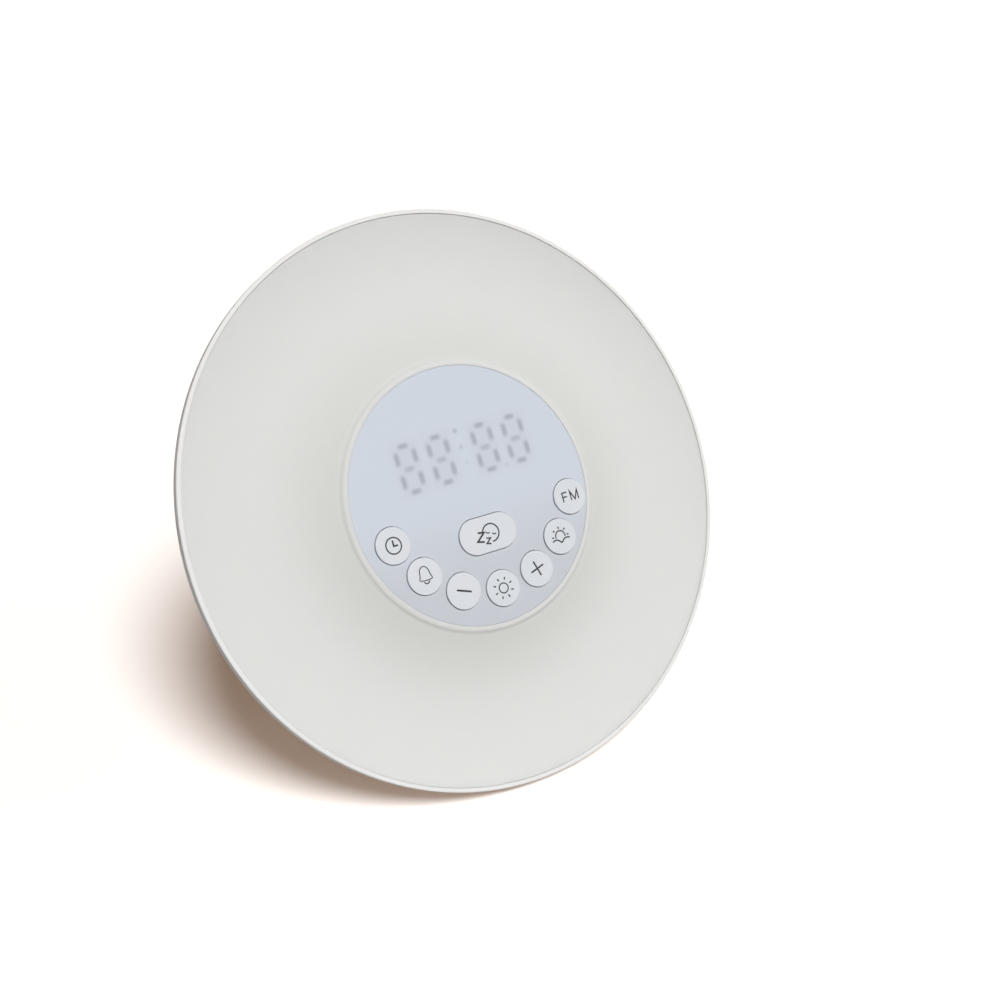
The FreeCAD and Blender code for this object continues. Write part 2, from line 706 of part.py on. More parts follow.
def coin_cell():
    """Three-volt coin cell with a stepped face."""
    low, high = MAIN_BACK - 4.0, MAIN_BACK - 0.8
    step = low + 0.4
    face = disc(CELL_RADIUS - 1.4, low, step, CELL_X, CELL_Y)
    return joined([disc(CELL_RADIUS, step, high, CELL_X, CELL_Y), face])


# Rear shell

def shell_centres():
    """Centres and radii of the shell's two section arcs, and the point where they meet."""
    low = (BACK_RADIUS, -BODY_DEPTH + BACK_ARC)
    turn = math.radians(BACK_ARC_ANGLE)
    way = (math.cos(turn), math.sin(turn))
    meet = (low[0] + BACK_ARC * way[0], low[1] + BACK_ARC * way[1])
    chord = (SHELL_MOUTH - meet[0], SHELL_FRONT - meet[1])
    along = chord[0] * way[0] + chord[1] * way[1]
    side_arc = (chord[0] ** 2 + chord[1] ** 2) / (-2 * along)
    high = (meet[0] - side_arc * way[0], meet[1] - side_arc * way[1])
    return low, high, side_arc


def bowl(inset, front):
    """Solid inside the shell's outer face, or inside its inner face when inset by the wall."""
    low, high, side_arc = shell_centres()
    side = side_arc - inset
    end = math.degrees(math.asin((front - high[1]) / side))
    return turned(
        (0, front),
        (0, -BODY_DEPTH + inset),
        (BACK_RADIUS, -BODY_DEPTH + inset),
        (on_circle(low, BACK_ARC - inset, (BACK_ARC_ANGLE - 90) / 2),
         on_circle(low, BACK_ARC - inset, BACK_ARC_ANGLE)),
        (on_circle(high, side, (BACK_ARC_ANGLE + end) / 2), on_circle(high, side, end)),
    )


def grille_places():
    """Centres of the speaker's holes: one in the middle and rings of six more each time."""
    places = [(0.0, SPEAKER_Y)]
    for ring in range(1, GRILLE_RINGS + 1):
        places += [(x, y + SPEAKER_Y) for x, y in around(ring * GRILLE_PITCH, every(6 * ring))]
    return places


def speaker_post_places():
    """Four posts beside the speaker's flange."""
    return [(x, y + SPEAKER_Y) for x, y in around(SPEAKER_POST_RADIUS, every(4, 45.0))]


def rear_shell():
    """Bowl with a flat base, screw wells, a grille, speaker posts and openings for sockets and aerial."""
    outer = bowl(0.0, SHELL_FRONT).cut(under(BASE))
    inside = bowl(WALL, SHELL_FRONT + 1).cut(under(BASE + WALL))
    post_top = USB_BOARD_TOP - BOARD
    posts = [disc(WELL_RADIUS + WELL_WALL, -BODY_DEPTH - 5, WELL_END, x, y).common(outer) for x, y in WELLS]
    posts += [disc(SPEAKER_POST, BACK_INSIDE - 0.5, FRAME_TOP, x, y) for x, y in speaker_post_places()]
    posts += [Part.makeCylinder(USB_POST_RADIUS, 30, V(x, post_top - 30, z), V(0, 1, 0)).common(outer)
              for x, z in USB_POSTS]
    shell = joined([outer.cut(inside)] + posts)
    cuts = []
    for x, y in WELLS:
        cuts.append(disc(WELL_RADIUS, -BODY_DEPTH - 5, WELL_SEAT, x, y))
        cuts.append(disc(SHELL_SCREW + 0.5, WELL_SEAT - 1, WELL_END + 1, x, y))
    cuts += [disc(GRILLE_HOLE, -BODY_DEPTH - 1, BACK_INSIDE + 1, x, y) for x, y in grille_places()]
    cuts += [disc(1.15, BACK_INSIDE - 1.2, BACK_INSIDE + 3, x, y) for x, y in speaker_post_places()]
    cuts += [Part.makeCylinder(PILOT_HOLE, 8, V(x, post_top - 7, z), V(0, 1, 0)) for x, z in USB_POSTS]
    cuts.append(pill(USB_WIDTH + 0.4, USB_HEIGHT + 0.4, -BODY_DEPTH - 1, BACK_INSIDE + 1, USB_X, SOCKET_Y))
    cuts.append(disc(RESET_PINHOLE, -BODY_DEPTH - 1, BACK_INSIDE + 1, RESET_X, SOCKET_Y))
    cuts.append(disc(ANTENNA_HOLE, -BODY_DEPTH - 1, BACK_INSIDE + 1, ANTENNA_X, SOCKET_Y))
    cuts += [stood(disc(FOOT_RADIUS + 0.1, BASE - 1, BASE + FOOT_SUNK, x, y)) for x, y in FEET]
    return shell.cut(cuts)


def shell_screws():
    """Four long screws down the wells into the dish's posts."""
    return screws(WELLS, SHELL_SCREW_HEAD, (WELL_SEAT, WELL_SEAT - 2.0), SHELL_SCREW, DISH_FLOOR - 1.2)


def rubber_feet():
    """Four round pads with a rounded lower edge, stood in shallow sinks of the base."""
    edge = 0.4
    pads = []
    for x, y in FEET:
        pad = turned((0, TABLE), (FOOT_RADIUS - edge, TABLE), (FOOT_RADIUS, TABLE + edge),
                     (FOOT_RADIUS, BASE + FOOT_SUNK), (0, BASE + FOOT_SUNK))
        pad.translate(V(x, y, 0))
        pads.append(stood(pad))
    return Part.makeCompound(pads)


# Speaker, on the inside of the back

def at_speaker(shape):
    """Move a piece turned about Z to the speaker's centre."""
    shape.translate(V(0, SPEAKER_Y, 0))
    return shape


def speaker_gasket():
    """Foam ring between the speaker and the back."""
    return at_speaker(tube(SPEAKER_RADIUS, SPEAKER_OPENING, BACK_INSIDE, GASKET_TOP))


def speaker_frame():
    """Pressed basket: a flange, a sloping wall with four windows and a plate for the magnet."""
    basket = turned(
        (SPEAKER_RADIUS, GASKET_TOP),
        (SPEAKER_RADIUS, FRAME_TOP),
        (22.0, FRAME_TOP),
        (16.4, MAGNET_LOW),
        (7.0, MAGNET_LOW),
        (7.0, MAGNET_LOW - 1.2),
        (15.6, MAGNET_LOW - 1.2),
        (21.0, FRAME_TOP - 0.6),
        (21.0, GASKET_TOP),
    )
    windows = [block((12, 30), (-5, 5), (FRAME_TOP + 1.5, MAGNET_LOW - 2.5)) for _ in range(4)]
    for window, angle in zip(windows, every(4)):
        window.rotate(V(0, 0, 0), V(0, 0, 1), angle)
    return at_speaker(basket.cut(windows))


def speaker_magnet():
    """Magnet and yoke with the ring gap for the coil."""
    body = disc(MAGNET_RADIUS, MAGNET_LOW, MAGNET_LOW + 8)
    body = body.cut(tube(COIL_OUTER + 0.6, COIL_INNER - 0.6, MAGNET_LOW - 1, MAGNET_LOW + 6))
    return at_speaker(body)


def speaker_surround():
    """Soft half-round roll between the cone and the basket."""
    flat = GASKET_TOP + 0.1
    return at_speaker(turned(
        (20.9, flat),
        (20.9, flat + 0.3),
        (20.3, flat + 0.3),
        ((19.1, flat + 1.4), (17.9, flat + 0.3)),
        (17.3, flat + 0.3),
        (17.3, flat),
        (18.0, flat),
        ((19.1, flat + 1.0), (20.2, flat)),
    ))


def speaker_cone():
    """Cone with a dust cap and the coil's tube, which reaches into the magnet's gap."""
    edge = GASKET_TOP + 0.4
    cone = turned(
        (17.0, edge),
        (17.0, edge + 0.5),
        (COIL_OUTER, -61.0),
        (COIL_OUTER, COIL_TOP),
        (COIL_INNER, COIL_TOP),
        (COIL_INNER, -61.8),
        (3.4, -62.9),
        (0, -63.3),
        (0, -63.8),
        (3.6, -63.4),
        (5.9, -62.3),
    )
    return at_speaker(cone)


def speaker_screws():
    """Four screws whose wide heads hold the flange down."""
    return screws(speaker_post_places(), 3.0, (FRAME_TOP, FRAME_TOP + 1.3), 1.05, BACK_INSIDE - 1.0)


# Sockets, reset switch and aerial outlet, beside the base

def usb_board():
    """Small board across the back, level with the face's X and Z."""
    board = block((-24, 12), (USB_BOARD_TOP - BOARD, USB_BOARD_TOP), (BACK_INSIDE + 0.8, -50))
    holes = [Part.makeCylinder(BOARD_HOLE, 10, V(x, USB_BOARD_TOP - 5, z), V(0, 1, 0)) for x, z in USB_POSTS]
    return board.cut(holes)


def usb_socket():
    """Metal shell with a tongue, its mouth level with the back."""
    mouth = -BODY_DEPTH + 0.2
    case = pill(USB_WIDTH, USB_HEIGHT, mouth, mouth + 6, USB_X, SOCKET_Y)
    case = case.cut(pill(USB_WIDTH - 2 * USB_WALL, USB_HEIGHT - 2 * USB_WALL, mouth - 1, mouth + 5.5,
                         USB_X, SOCKET_Y))
    tongue = block((USB_X - 2.6, USB_X + 2.6), (SOCKET_Y - 0.3, SOCKET_Y + 0.3), (mouth + 1, mouth + 5.7))
    return joined([case, tongue])


def reset_switch():
    """Side-push switch behind the pinhole."""
    case = block((RESET_X - 3, RESET_X + 3), (USB_BOARD_TOP, USB_BOARD_TOP + 3.2),
                 (RESET_FACE, RESET_FACE + 3.5))
    return case.cut(disc(RESET_PEG + 0.1, RESET_FACE - 1, RESET_FACE + 2.2, RESET_X, SOCKET_Y))


def reset_plunger():
    """Peg that a pin pushes through the pinhole."""
    return disc(RESET_PEG, RESET_FACE - 2.2, RESET_FACE + 1.6, RESET_X, SOCKET_Y)


def usb_board_screws():
    """Two screws down into the posts."""
    made = []
    for x, z in USB_POSTS:
        head = Part.makeCylinder(2.0, 1.2, V(x, USB_BOARD_TOP, z), V(0, 1, 0))
        shank = Part.makeCylinder(SCREW_SHANK, 7.0, V(x, USB_BOARD_TOP - 7.0, z), V(0, 1, 0))
        made.append(head.fuse(shank).removeSplitter())
    return Part.makeCompound(made)


def antenna_grommet():
    """Bush with a flange on each side of the back, for the aerial wire."""
    bush = turned(
        (0.8, -BODY_DEPTH - 1.2),
        (3.2, -BODY_DEPTH - 1.2),
        (4.0, -BODY_DEPTH),
        (2.5, -BODY_DEPTH),
        (2.5, BACK_INSIDE),
        (3.4, BACK_INSIDE),
        (3.4, BACK_INSIDE + 1.2),
        (0.8, BACK_INSIDE + 1.2),
    )
    bush.translate(V(ANTENNA_X, SOCKET_Y, 0))
    return bush


# Inside wires

def ribbon_cable():
    """Flat cable from the key board's socket to the main board's."""
    left, right = RIBBON_X
    top = KEY_BOARD_TOP - BOARD - RIBBON_SOCKET
    path = wire_path([(left, 0, top), (left, 0, -19), (left, 4, -24), (left, 0, -28),
                      (left, 0, MAIN_TOP + RIBBON_SOCKET)])
    low, high = -0.3, 0.3
    ends = [(left, low), (right, low), (right, high), (left, high), (left, low)]
    corners = [V(x, y, top) for x, y in ends]
    return path.makePipeShell([Part.makePolygon(corners)], True, False)


def speaker_leads():
    """Pair from the basket to the main board."""
    return lead_pair([(-30.5, 10, MAIN_BACK - 6), (-30.5, 10, -50), (-30.5, 2, -55), (-27, 0, -60),
                      (-26, 0, -66)], LEAD_RADIUS, LEAD_SPREAD)


def usb_leads():
    """Pair from the socket board to the main board."""
    return lead_pair([(-27, -17, MAIN_BACK - 6), (-27, -17, -50), (-22, -22, -55), (-20, -27, -55),
                      (-20, USB_BOARD_TOP, -55)], LEAD_RADIUS, LEAD_SPREAD)


def lamp_leads():
    """Pair from the main board, round its edge and through the dish's floor to the lamp board."""
    end_y = LAMP_INNER + 3
    return lead_pair([(0, 20, MAIN_BACK - 6), (0, 20, -47.5), (0, 30, -48.5), (0, 42, -44), (0, LEAD_Y, -34),
                      (0, LEAD_Y, -22), (0, end_y, -20.5), (0, end_y, DISH_FLOOR + BOARD)],
                     LEAD_RADIUS, LEAD_SPREAD)


def make_nodes():
    """Every piece under its name, in the face frame."""
    nodes = {}
    for build in (rim_ring, front_diffuser, display_panel, panel_carrier, display_module, display_digits,
                  display_gasket, key_board, key_board_screws, switch_bodies, reflector_dish, lamp_board,
                  lamp_leds_white, lamp_leds_colour, lamp_board_screws, carrier_screws, frame_screws,
                  main_board, main_board_screws, board_chips, board_capacitors, board_connectors,
                  coin_cell_holder, coin_cell, rear_shell, shell_screws, rubber_feet, speaker_gasket,
                  speaker_frame, speaker_magnet, speaker_surround, speaker_cone, speaker_screws, usb_board,
                  usb_socket, usb_board_screws, reset_switch, reset_plunger, antenna_grommet, ribbon_cable,
                  speaker_leads, usb_leads, lamp_leads):
        nodes[build.__name__] = build()
    for name, x, y in key_places():
        nodes["button_" + name] = round_key(x, y)
        nodes["plunger_" + name] = plunger(x, y)
    nodes["button_snooze"] = snooze_key()
    nodes["plunger_snooze"] = plunger(SNOOZE_X, SNOOZE_Y)
    return nodes


def main():
    """Build every piece, stand it on its feet with the origin under its middle, and write it."""
    os.makedirs("parts", exist_ok=True)
    nodes = {name: stood(shape, back=True) for name, shape in make_nodes().items()}
    box = Part.makeCompound(list(nodes.values())).optimalBoundingBox(False, False)
    shift = V(-(box.XMin + box.XMax) / 2, -(box.YMin + box.YMax) / 2, -box.ZMin)
    for name, shape in nodes.items():
        shape.translate(shift)
        shape.exportStep("parts/" + name + ".step")
    print("pieces", len(nodes))
    print("size", round(box.XLength, 2), round(box.YLength, 2), round(box.ZLength, 2))
    print("shift", round(shift.x, 4), round(shift.y, 4), round(shift.z, 4))


main()
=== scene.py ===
"""Looks of a round sunrise alarm clock: an opal lamp dish with a satin panel and eight white keys.

Shapes are worked out in millimetres on the clock's face: X to the right, Y up along the face and Z out
towards the person, with the origin in the middle of the lamp's outer edge.
"""

import math
from types import SimpleNamespace

import bpy
import numpy as np
from bpy.props import FloatProperty, FloatVectorProperty, PointerProperty
from mathutils import Matrix


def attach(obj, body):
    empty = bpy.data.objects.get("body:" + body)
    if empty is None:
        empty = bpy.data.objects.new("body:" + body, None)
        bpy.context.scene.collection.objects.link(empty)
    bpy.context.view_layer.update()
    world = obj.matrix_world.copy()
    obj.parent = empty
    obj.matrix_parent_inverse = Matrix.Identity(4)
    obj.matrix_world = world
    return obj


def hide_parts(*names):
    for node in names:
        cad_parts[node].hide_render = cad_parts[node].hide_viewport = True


bl_info = {
    "name": "Sunrise Alarm Clock",
    "version": (1, 0, 0),
    "blender": (4, 5, 0),
    "location": "3D View > Sidebar > Clock",
    "description": "Builds the lamp dish, rim, keys and finishes of a sunrise alarm clock",
    "category": "Object",
}

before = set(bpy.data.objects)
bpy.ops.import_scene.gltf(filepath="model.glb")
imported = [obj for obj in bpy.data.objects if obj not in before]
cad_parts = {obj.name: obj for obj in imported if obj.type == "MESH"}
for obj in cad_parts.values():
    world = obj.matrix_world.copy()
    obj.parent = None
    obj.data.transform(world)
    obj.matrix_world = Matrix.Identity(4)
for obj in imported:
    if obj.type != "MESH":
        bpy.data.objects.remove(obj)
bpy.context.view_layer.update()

MM = 0.001

# Height of the shell's flat base above the table, in millimetres
SHELL_BASE = 3.55

# Heights above the face's zero plane, radii and places on it, in millimetres; turns are in degrees
PANEL_TOP = 2.0
KEY_STEM = 1.6
KEY_STEM_END = -3.0
KEY_STEM_REACH = 31.2
KEY_FLANGE = 0.3
KEY_FLANGE_LOW = -0.7
KEY_FLANGE_TOP = 0.3
KEY_ARC = 32.63
KEY_ARC_CENTRE = (1.38, 3.37)
KEY_PITCH = 23.0
KEY_TURN = -0.65
KEY_NAMES = ("clock", "bell", "minus", "sun", "plus", "sunset", "fm")
SNOOZE_PLACE = (1.14, -12.45)

# Unlit digit windows seen through the panel, in millimetres; the turn is in degrees
DIGITS_X = 0.9
DIGITS_Y = 12.5
DIGITS_TURN = 1.2
DIGIT_PAIR = 12.95
DIGIT_SPACING = 5.4
DIGIT_WIDTH = 5.9
DIGIT_RISE = 6.85
DIGIT_STRENGTH = 0.75

# Half size and half blur of an upright stroke, a level stroke and the field round the digits
UPRIGHT_ACROSS = (0.75, 0.7)
UPRIGHT_ALONG = (1.85, 0.95)
LEVEL_ACROSS = (0.7, 0.65)
LEVEL_ALONG = (1.5, 0.9)
FIELD_HEIGHT = (DIGIT_RISE + 1.2, 2.0)
FIELD_WIDTH = (4.6, 1.8)
FIELD_STRENGTH = 0.5

# The middle bars are fainter: strength on the middle line, and the height where it is full again
MIDDLE_BAR_STRENGTH = 0.7
MIDDLE_BAR_REACH = 2.0

# Colon and dots: X, Y, radius and strength of each from the digits' middle, and their half blur
DOTS = ((-0.65, 7.1, 0.7, 0.75), (-0.25, 2.0, 0.65, 0.5), (0.05, -2.9, 0.65, 0.25),
        (12.85, -6.9, 0.65, 0.35))
DOT_BLUR = 0.5

# Heights up the face between which painted shade turns the panel greyer, towards the keys
SHADE_CRESCENT_START = 2.0
SHADE_CRESCENT_END = -26.0

# Sides of the turned pieces and of a key, and the angle from which an edge is sharp
RIM_SIDES = 720
DISH_SIDES = 600
KEY_SIDES = 128
SHARP_ANGLE = 35.0

# Depth behind the shell gap from which the skirt is cut level
SKIRT_MARGIN = 1.0

# Ink starts this far below a key's top, and follows its crown in steps of this length
INK_ROOT = -0.02
INK_STEP = 0.5

# Pitch of the ribbon cable's wires, and bands of a wave texture of scale 1 to the unit
WIRE_PITCH = 1.27
WAVE_BANDS = 3.2

# Floor: half its side in metres, its paint as other pieces see it, and the warm tone in its shadow
FLOOR_REACH = 6.0
FLOOR_BOUNCE = "B4B3B2"
SHADOW_WARMTH = (1.0, 0.56, 0.29)

# The face leans back from upright
LEAN = math.radians(30.0)
RIGHT = np.array((1.0, 0.0, 0.0))
UP = np.array((0.0, math.sin(LEAN), math.cos(LEAN)))
OUT = np.array((0.0, -math.cos(LEAN), math.sin(LEAN)))


def vertices_of(node):
    """All the places of a CAD node's mesh, as one array in metres."""
    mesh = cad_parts[node].data
    places = np.empty(len(mesh.vertices) * 3, np.float32)
    mesh.vertices.foreach_get("co", places)
    return places.reshape(-1, 3).astype(float)


def face_origin():
    """Middle of the panel's disc, moved back from its front to the face's zero plane."""
    along = vertices_of("display_panel") @ np.array((RIGHT, UP, OUT)).T
    middle = (along.min(0) + along.max(0)) / 2
    depth = along[:, 2].max() - PANEL_TOP * MM
    return middle[0] * RIGHT + middle[1] * UP + depth * OUT


ORIGIN = face_origin()


def linear(code):
    """Linear red, green and blue of an sRGB hex colour."""
    parts = [int(code[index:index + 2], 16) / 255 for index in (0, 2, 4)]
    return tuple(part / 12.92 if part <= 0.04045 else ((part + 0.055) / 1.055) ** 2.4 for part in parts)


# Sizes and colours that a user would change

def length(name, description, millimetres):
    """A length property whose default is given in millimetres."""
    return FloatProperty(name=name, description=description, default=millimetres * MM, unit="LENGTH",
                         precision=5)


def colour(name, description, code):
    """A colour property whose default is an sRGB hex value."""
    return FloatVectorProperty(name=name, description=description, default=linear(code), min=0.0, max=1.0,
                               subtype="COLOR")


class ClockSizes(bpy.types.PropertyGroup):
    """Sizes of the rebuilt pieces"""
    rim_radius: length("Rim radius", "Outer radius of the rim", 87.3)
    lip_width: length("Lip width", "Width of the rim's flat-topped lip", 1.3)
    lip_height: length("Lip height", "Rise of the lip above the dish's outer edge", 0.35)
    lip_edge: length("Lip edge", "Radius of the lip's inner edge", 0.15)
    lip_round: length("Lip rounding", "Radius of the lip's outer edge", 0.45)
    side_depth: length("Side depth", "Depth of the band round the rim", 2.9)
    side_edge: length("Side edge", "Radius of the band's rear edge", 0.25)
    gap_radius: length("Gap radius", "Radius of the bottom of the gap behind the rim", 86.5)
    shell_gap: length("Shell gap", "Depth from the face to the rear shell's front edge", 4.1)
    skirt_outer: length("Skirt radius", "Outer radius of the skirt inside the shell", 83.0)
    skirt_inner: length("Skirt bore", "Inner radius of the skirt inside the shell", 81.4)
    skirt_depth: length("Skirt depth", "Depth from the face to the skirt's end", 9.0)
    ledge: length("Ledge", "Depth of the ledge under the dish's edge", 2.25)
    ledge_inner: length("Ledge bore", "Inner radius of the ledge under the dish's edge", 84.8)
    dish_outer: length("Dish radius", "Outer radius of the dish", 85.95)
    dish_round: length("Dish edge", "Radius of the dish's outer edge", 0.1)
    dish_land: length("Dish land", "Depth of the dish's edge", 2.2)
    valley_radius: length("Valley radius", "Radius of the dish's lowest ring", 65.0)
    valley_arc: length("Valley arc", "Radius of the arc that the dish's section follows", 66.0)
    dish_wall: length("Dish wall", "Wall of the dish", 1.6)
    bead: length("Bead", "Radius of the bead round the panel", 1.5)
    bead_flat: length("Bead flat", "Width of the bead's flat top", 0.6)
    bead_top: length("Bead top", "Height of the bead's flat top", 2.05)
    bead_fillet: length("Bead fillet", "Radius of the fillet below the bead", 2.0)
    collar: length("Collar", "Inner radius of the collar round the panel", 39.11)
    collar_outer: length("Collar radius", "Outer radius of the collar round the panel", 41.0)
    collar_root: length("Collar root", "Radius where the collar leaves the dish's back", 43.0)
    collar_top: length("Collar top", "Depth where the collar's outside begins", 1.6)
    collar_depth: length("Collar depth", "Depth from the face to the collar's end", 5.0)
    key_radius: length("Key radius", "Radius of a round key", 5.5)
    key_top: length("Key top", "Height of the keys' tops above the face", 2.6)
    key_edge: length("Key edge", "Radius of the keys' rolled edge", 0.2)
    key_crown: length("Key crown", "Fall of a key's top from its middle to its edge", 0.05)
    snooze_length: length("Snooze length", "Length of the long key", 19.2)
    snooze_width: length("Snooze width", "Width of the long key", 10.9)
    ink: length("Print thickness", "Rise of the printed marks above the keys", 0.03)


class ClockColours(bpy.types.PropertyGroup):
    """Colours of the surfaces that show most"""
    dish: colour("Dish", "Opal dish, outer part", "E4E5E2")
    # Painted shade: the dish is coloured greyer beside the panel
    dish_painted_shade: colour("Dish near the panel", "Opal dish beside the bead", "DDDEDA")
    # Painted glow: the bead is coloured whiter than the dish beside it
    bead_painted_glow: colour("Bead", "Raised bead round the panel", "E3E3E1")
    panel: colour("Panel", "Satin panel behind the digits", "D3DAE4")
    # Painted shade: the panel is coloured greyer towards the keys
    panel_painted_shade: colour("Panel, lower part", "Satin panel round the keys", "CBCFD6")
    digit_field: colour("Digit field", "Panel round the unlit digits", "CDCFDC")
    digit: colour("Digits", "Unlit digit windows behind the panel", "A0A6B1")
    rim: colour("Rim", "Rim and its lip", "F1F1F0")
    key: colour("Keys", "Key caps", "E0E3E8")
    ink: colour("Print", "Marks on the keys", "2B2D30")


class ClockStage(bpy.types.PropertyGroup):
    """Light, floor and camera round the clock"""
    front_power: FloatProperty(name="Front light", description="Strength of the soft light above the front",
                               default=2.6)
    fill_power: FloatProperty(name="Fill light", description="Strength of the wide low light from the right",
                              default=0.65)
    ambient: FloatProperty(name="Ambient", description="Strength of the pale surroundings", default=0.03)
    floor_white: FloatProperty(name="Floor white", description="How white the floor shows in the picture",
                               default=1.33)
    shadow_lift: FloatProperty(name="Shadow lift", description="Warm light added to the floor in the picture",
                               default=0.175)
    azimuth: FloatProperty(name="Azimuth", description="How far the camera stands to the left",
                           default=math.radians(31.29), subtype="ANGLE")
    elevation: FloatProperty(name="Elevation", description="How far the camera looks down",
                             default=math.radians(27.87), subtype="ANGLE")
    roll: FloatProperty(name="Roll", description="Turn of the camera about its view",
                        default=math.radians(-1.006), subtype="ANGLE")
    place: FloatVectorProperty(name="Place", description="Where the camera stands",
                               default=(-0.17377, -0.32358, 0.24866), unit="LENGTH", subtype="TRANSLATION")
    lens: FloatProperty(name="Lens", description="Focal length in millimetres", default=46.767)
    shift: FloatVectorProperty(name="Shift", description="Sideways and upward shift of the lens", size=2,
                               default=(0.00205, 0.03445))


def sizes_of(context):
    """The sizes in millimetres, under their property names."""
    group = context.scene.clock_sizes
    return SimpleNamespace(**{name: getattr(group, name) / MM for name in ClockSizes.__annotations__})


# Shapes

def path(*points):
    """Points in a row, as an array."""
    return np.array(points, float)


def arc(centre, radius, start, end, count):
    """Points on a circle from one angle to another in degrees: centre + radius (cos, sin)."""
    turn = np.radians(np.linspace(start, end, count))
    return np.stack((centre[0] + radius * np.cos(turn), centre[1] + radius * np.sin(turn)), 1)


def stepped(points, step):
    """Straight runs divided evenly, so that no step is longer than asked."""
    runs = []
    for start, end in zip(points[:-1], points[1:]):
        count = max(1, math.ceil(math.dist(start, end) / step))
        runs.append(np.linspace(start, end, count, endpoint=False))
    return np.concatenate(runs + [points[-1:]])


def softened(points, passes, closed=False):
    """Corners cut off again and again: each side keeps its points at a quarter and three quarters."""
    for _ in range(passes):
        after = np.roll(points, -1, 0) if closed else points[1:]
        here = points if closed else points[:-1]
        cut = np.stack((0.75 * here + 0.25 * after, 0.25 * here + 0.75 * after), 1).reshape(-1, 2)
        points = cut if closed else np.concatenate((points[:1], cut, points[-1:]))
    return points


def revolved(profile, count):
    """Rings of a profile (radius, z) turned about Z: x = radius cos t, y = radius sin t."""
    turn = np.linspace(0, 2 * math.pi, count, endpoint=False)
    rings = np.empty((len(profile), count, 3))
    rings[..., 0] = profile[:, :1] * np.cos(turn)
    rings[..., 1] = profile[:, :1] * np.sin(turn)
    rings[..., 2] = profile[:, 1:]
    return rings


def skin(rings, tube=False, poles=()):
    """Points and faces over a grid of rings. A tube joins its last ring to the first; two poles close the
    ends with fans, and otherwise each end is one flat face. Faces turn outwards by the volume's sign."""
    rows, count = rings.shape[:2]
    points = rings.reshape(-1, 3)
    index = np.arange(rows * count).reshape(rows, count)
    lower = index if tube else index[:-1]
    upper = np.roll(index, -1, 0) if tube else index[1:]
    quads = np.stack((lower, np.roll(lower, -1, 1), np.roll(upper, -1, 1), upper), -1).reshape(-1, 4)
    faces = quads.tolist()
    low, high = index[0], index[-1]
    if len(poles):
        points = np.concatenate((points, poles))
        bottom = np.full(count, rows * count)
        faces += np.stack((bottom, np.roll(low, -1), low), 1).tolist()
        faces += np.stack((bottom + 1, high, np.roll(high, -1)), 1).tolist()
    elif not tube:
        faces += [low[::-1].tolist(), high.tolist()]
    corner = points[quads] - points.mean(0)
    volume = np.einsum("ij,ij->", corner[:, 0], np.cross(corner[:, 1], corner[:, 2]))
    volume += np.einsum("ij,ij->", corner[:, 0], np.cross(corner[:, 2], corner[:, 3]))
    if volume < 0:
        faces = [face[::-1] for face in faces]
    return points, faces


def stadium(reach, radius):
    """Outline of a long round-ended shape: radius (cos t, sin t), moved outwards by the reach on each
    side."""
    turn = (np.arange(KEY_SIDES) + 0.5) * 2 * math.pi / KEY_SIDES
    return np.stack((radius * np.cos(turn) + reach * np.sign(np.cos(turn)), radius * np.sin(turn)), 1)


def piece(name, parts, body, material, replaces=()):
    """Mesh object from (points, faces) parts on the face in millimetres, set in the clock's own place."""
    points, faces, start = [], [], 0
    for part_points, part_faces in parts:
        points.append(part_points)
        faces += [[corner + start for corner in face] for face in part_faces]
        start += len(part_points)
    placed = ORIGIN + np.concatenate(points) @ np.array((RIGHT, UP, OUT)) * MM
    mesh = bpy.data.meshes.new(name)
    mesh.from_pydata(placed.tolist(), [], faces)
    mesh.shade_smooth()
    mesh.set_sharp_from_angle(angle=math.radians(SHARP_ANGLE))
    mesh.materials.append(material)
    made = bpy.data.objects.new(name, mesh)
    bpy.context.scene.collection.objects.link(made)
    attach(made, body)
    if replaces:
        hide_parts(*replaces)
    return made


# Finishes

def add(tree, kind, inputs=None, **settings):
    """Add a node, set its properties, and fill its inputs with values or with links from other sockets."""
    node = tree.nodes.new(kind)
    for name, value in settings.items():
        setattr(node, name, value)
    for key, value in (inputs or {}).items():
        if isinstance(value, bpy.types.NodeSocket):
            tree.links.new(value, node.inputs[key])
        else:
            node.inputs[key].default_value = value
    return node


def started(name, values):
    """A named material, its node tree and its shader, whose plain values are set."""
    material = bpy.data.materials.new(name)
    material.use_nodes = True
    tree = material.node_tree
    shader = tree.nodes["Principled BSDF"]
    for key, value in values.items():
        shader.inputs[key].default_value = value
    return material, tree, shader


def on_face(tree):
    """Place on the face in millimetres: object coordinates moved to the face's middle and laid on its
    axes."""
    place = add(tree, "ShaderNodeTexCoord")
    return add(tree, "ShaderNodeMapping", {
        "Vector": place.outputs["Object"],
        "Location": tuple(ORIGIN),
        "Rotation": (math.pi / 2 - LEAN, 0.0, 0.0),
        "Scale": (MM, MM, MM),
    }, vector_type="TEXTURE").outputs["Vector"]


def blended(tree, share, first, second):
    """Colour between two, each a tuple or a socket."""
    first, second = (value if isinstance(value, bpy.types.NodeSocket) else (*value, 1.0)
                     for value in (first, second))
    mix = add(tree, "ShaderNodeMix", {"Factor": share}, data_type="RGBA")
    for socket, value in ((mix.inputs[6], first), (mix.inputs[7], second)):
        if isinstance(value, bpy.types.NodeSocket):
            tree.links.new(value, socket)
        else:
            socket.default_value = value
    return mix.outputs[2]


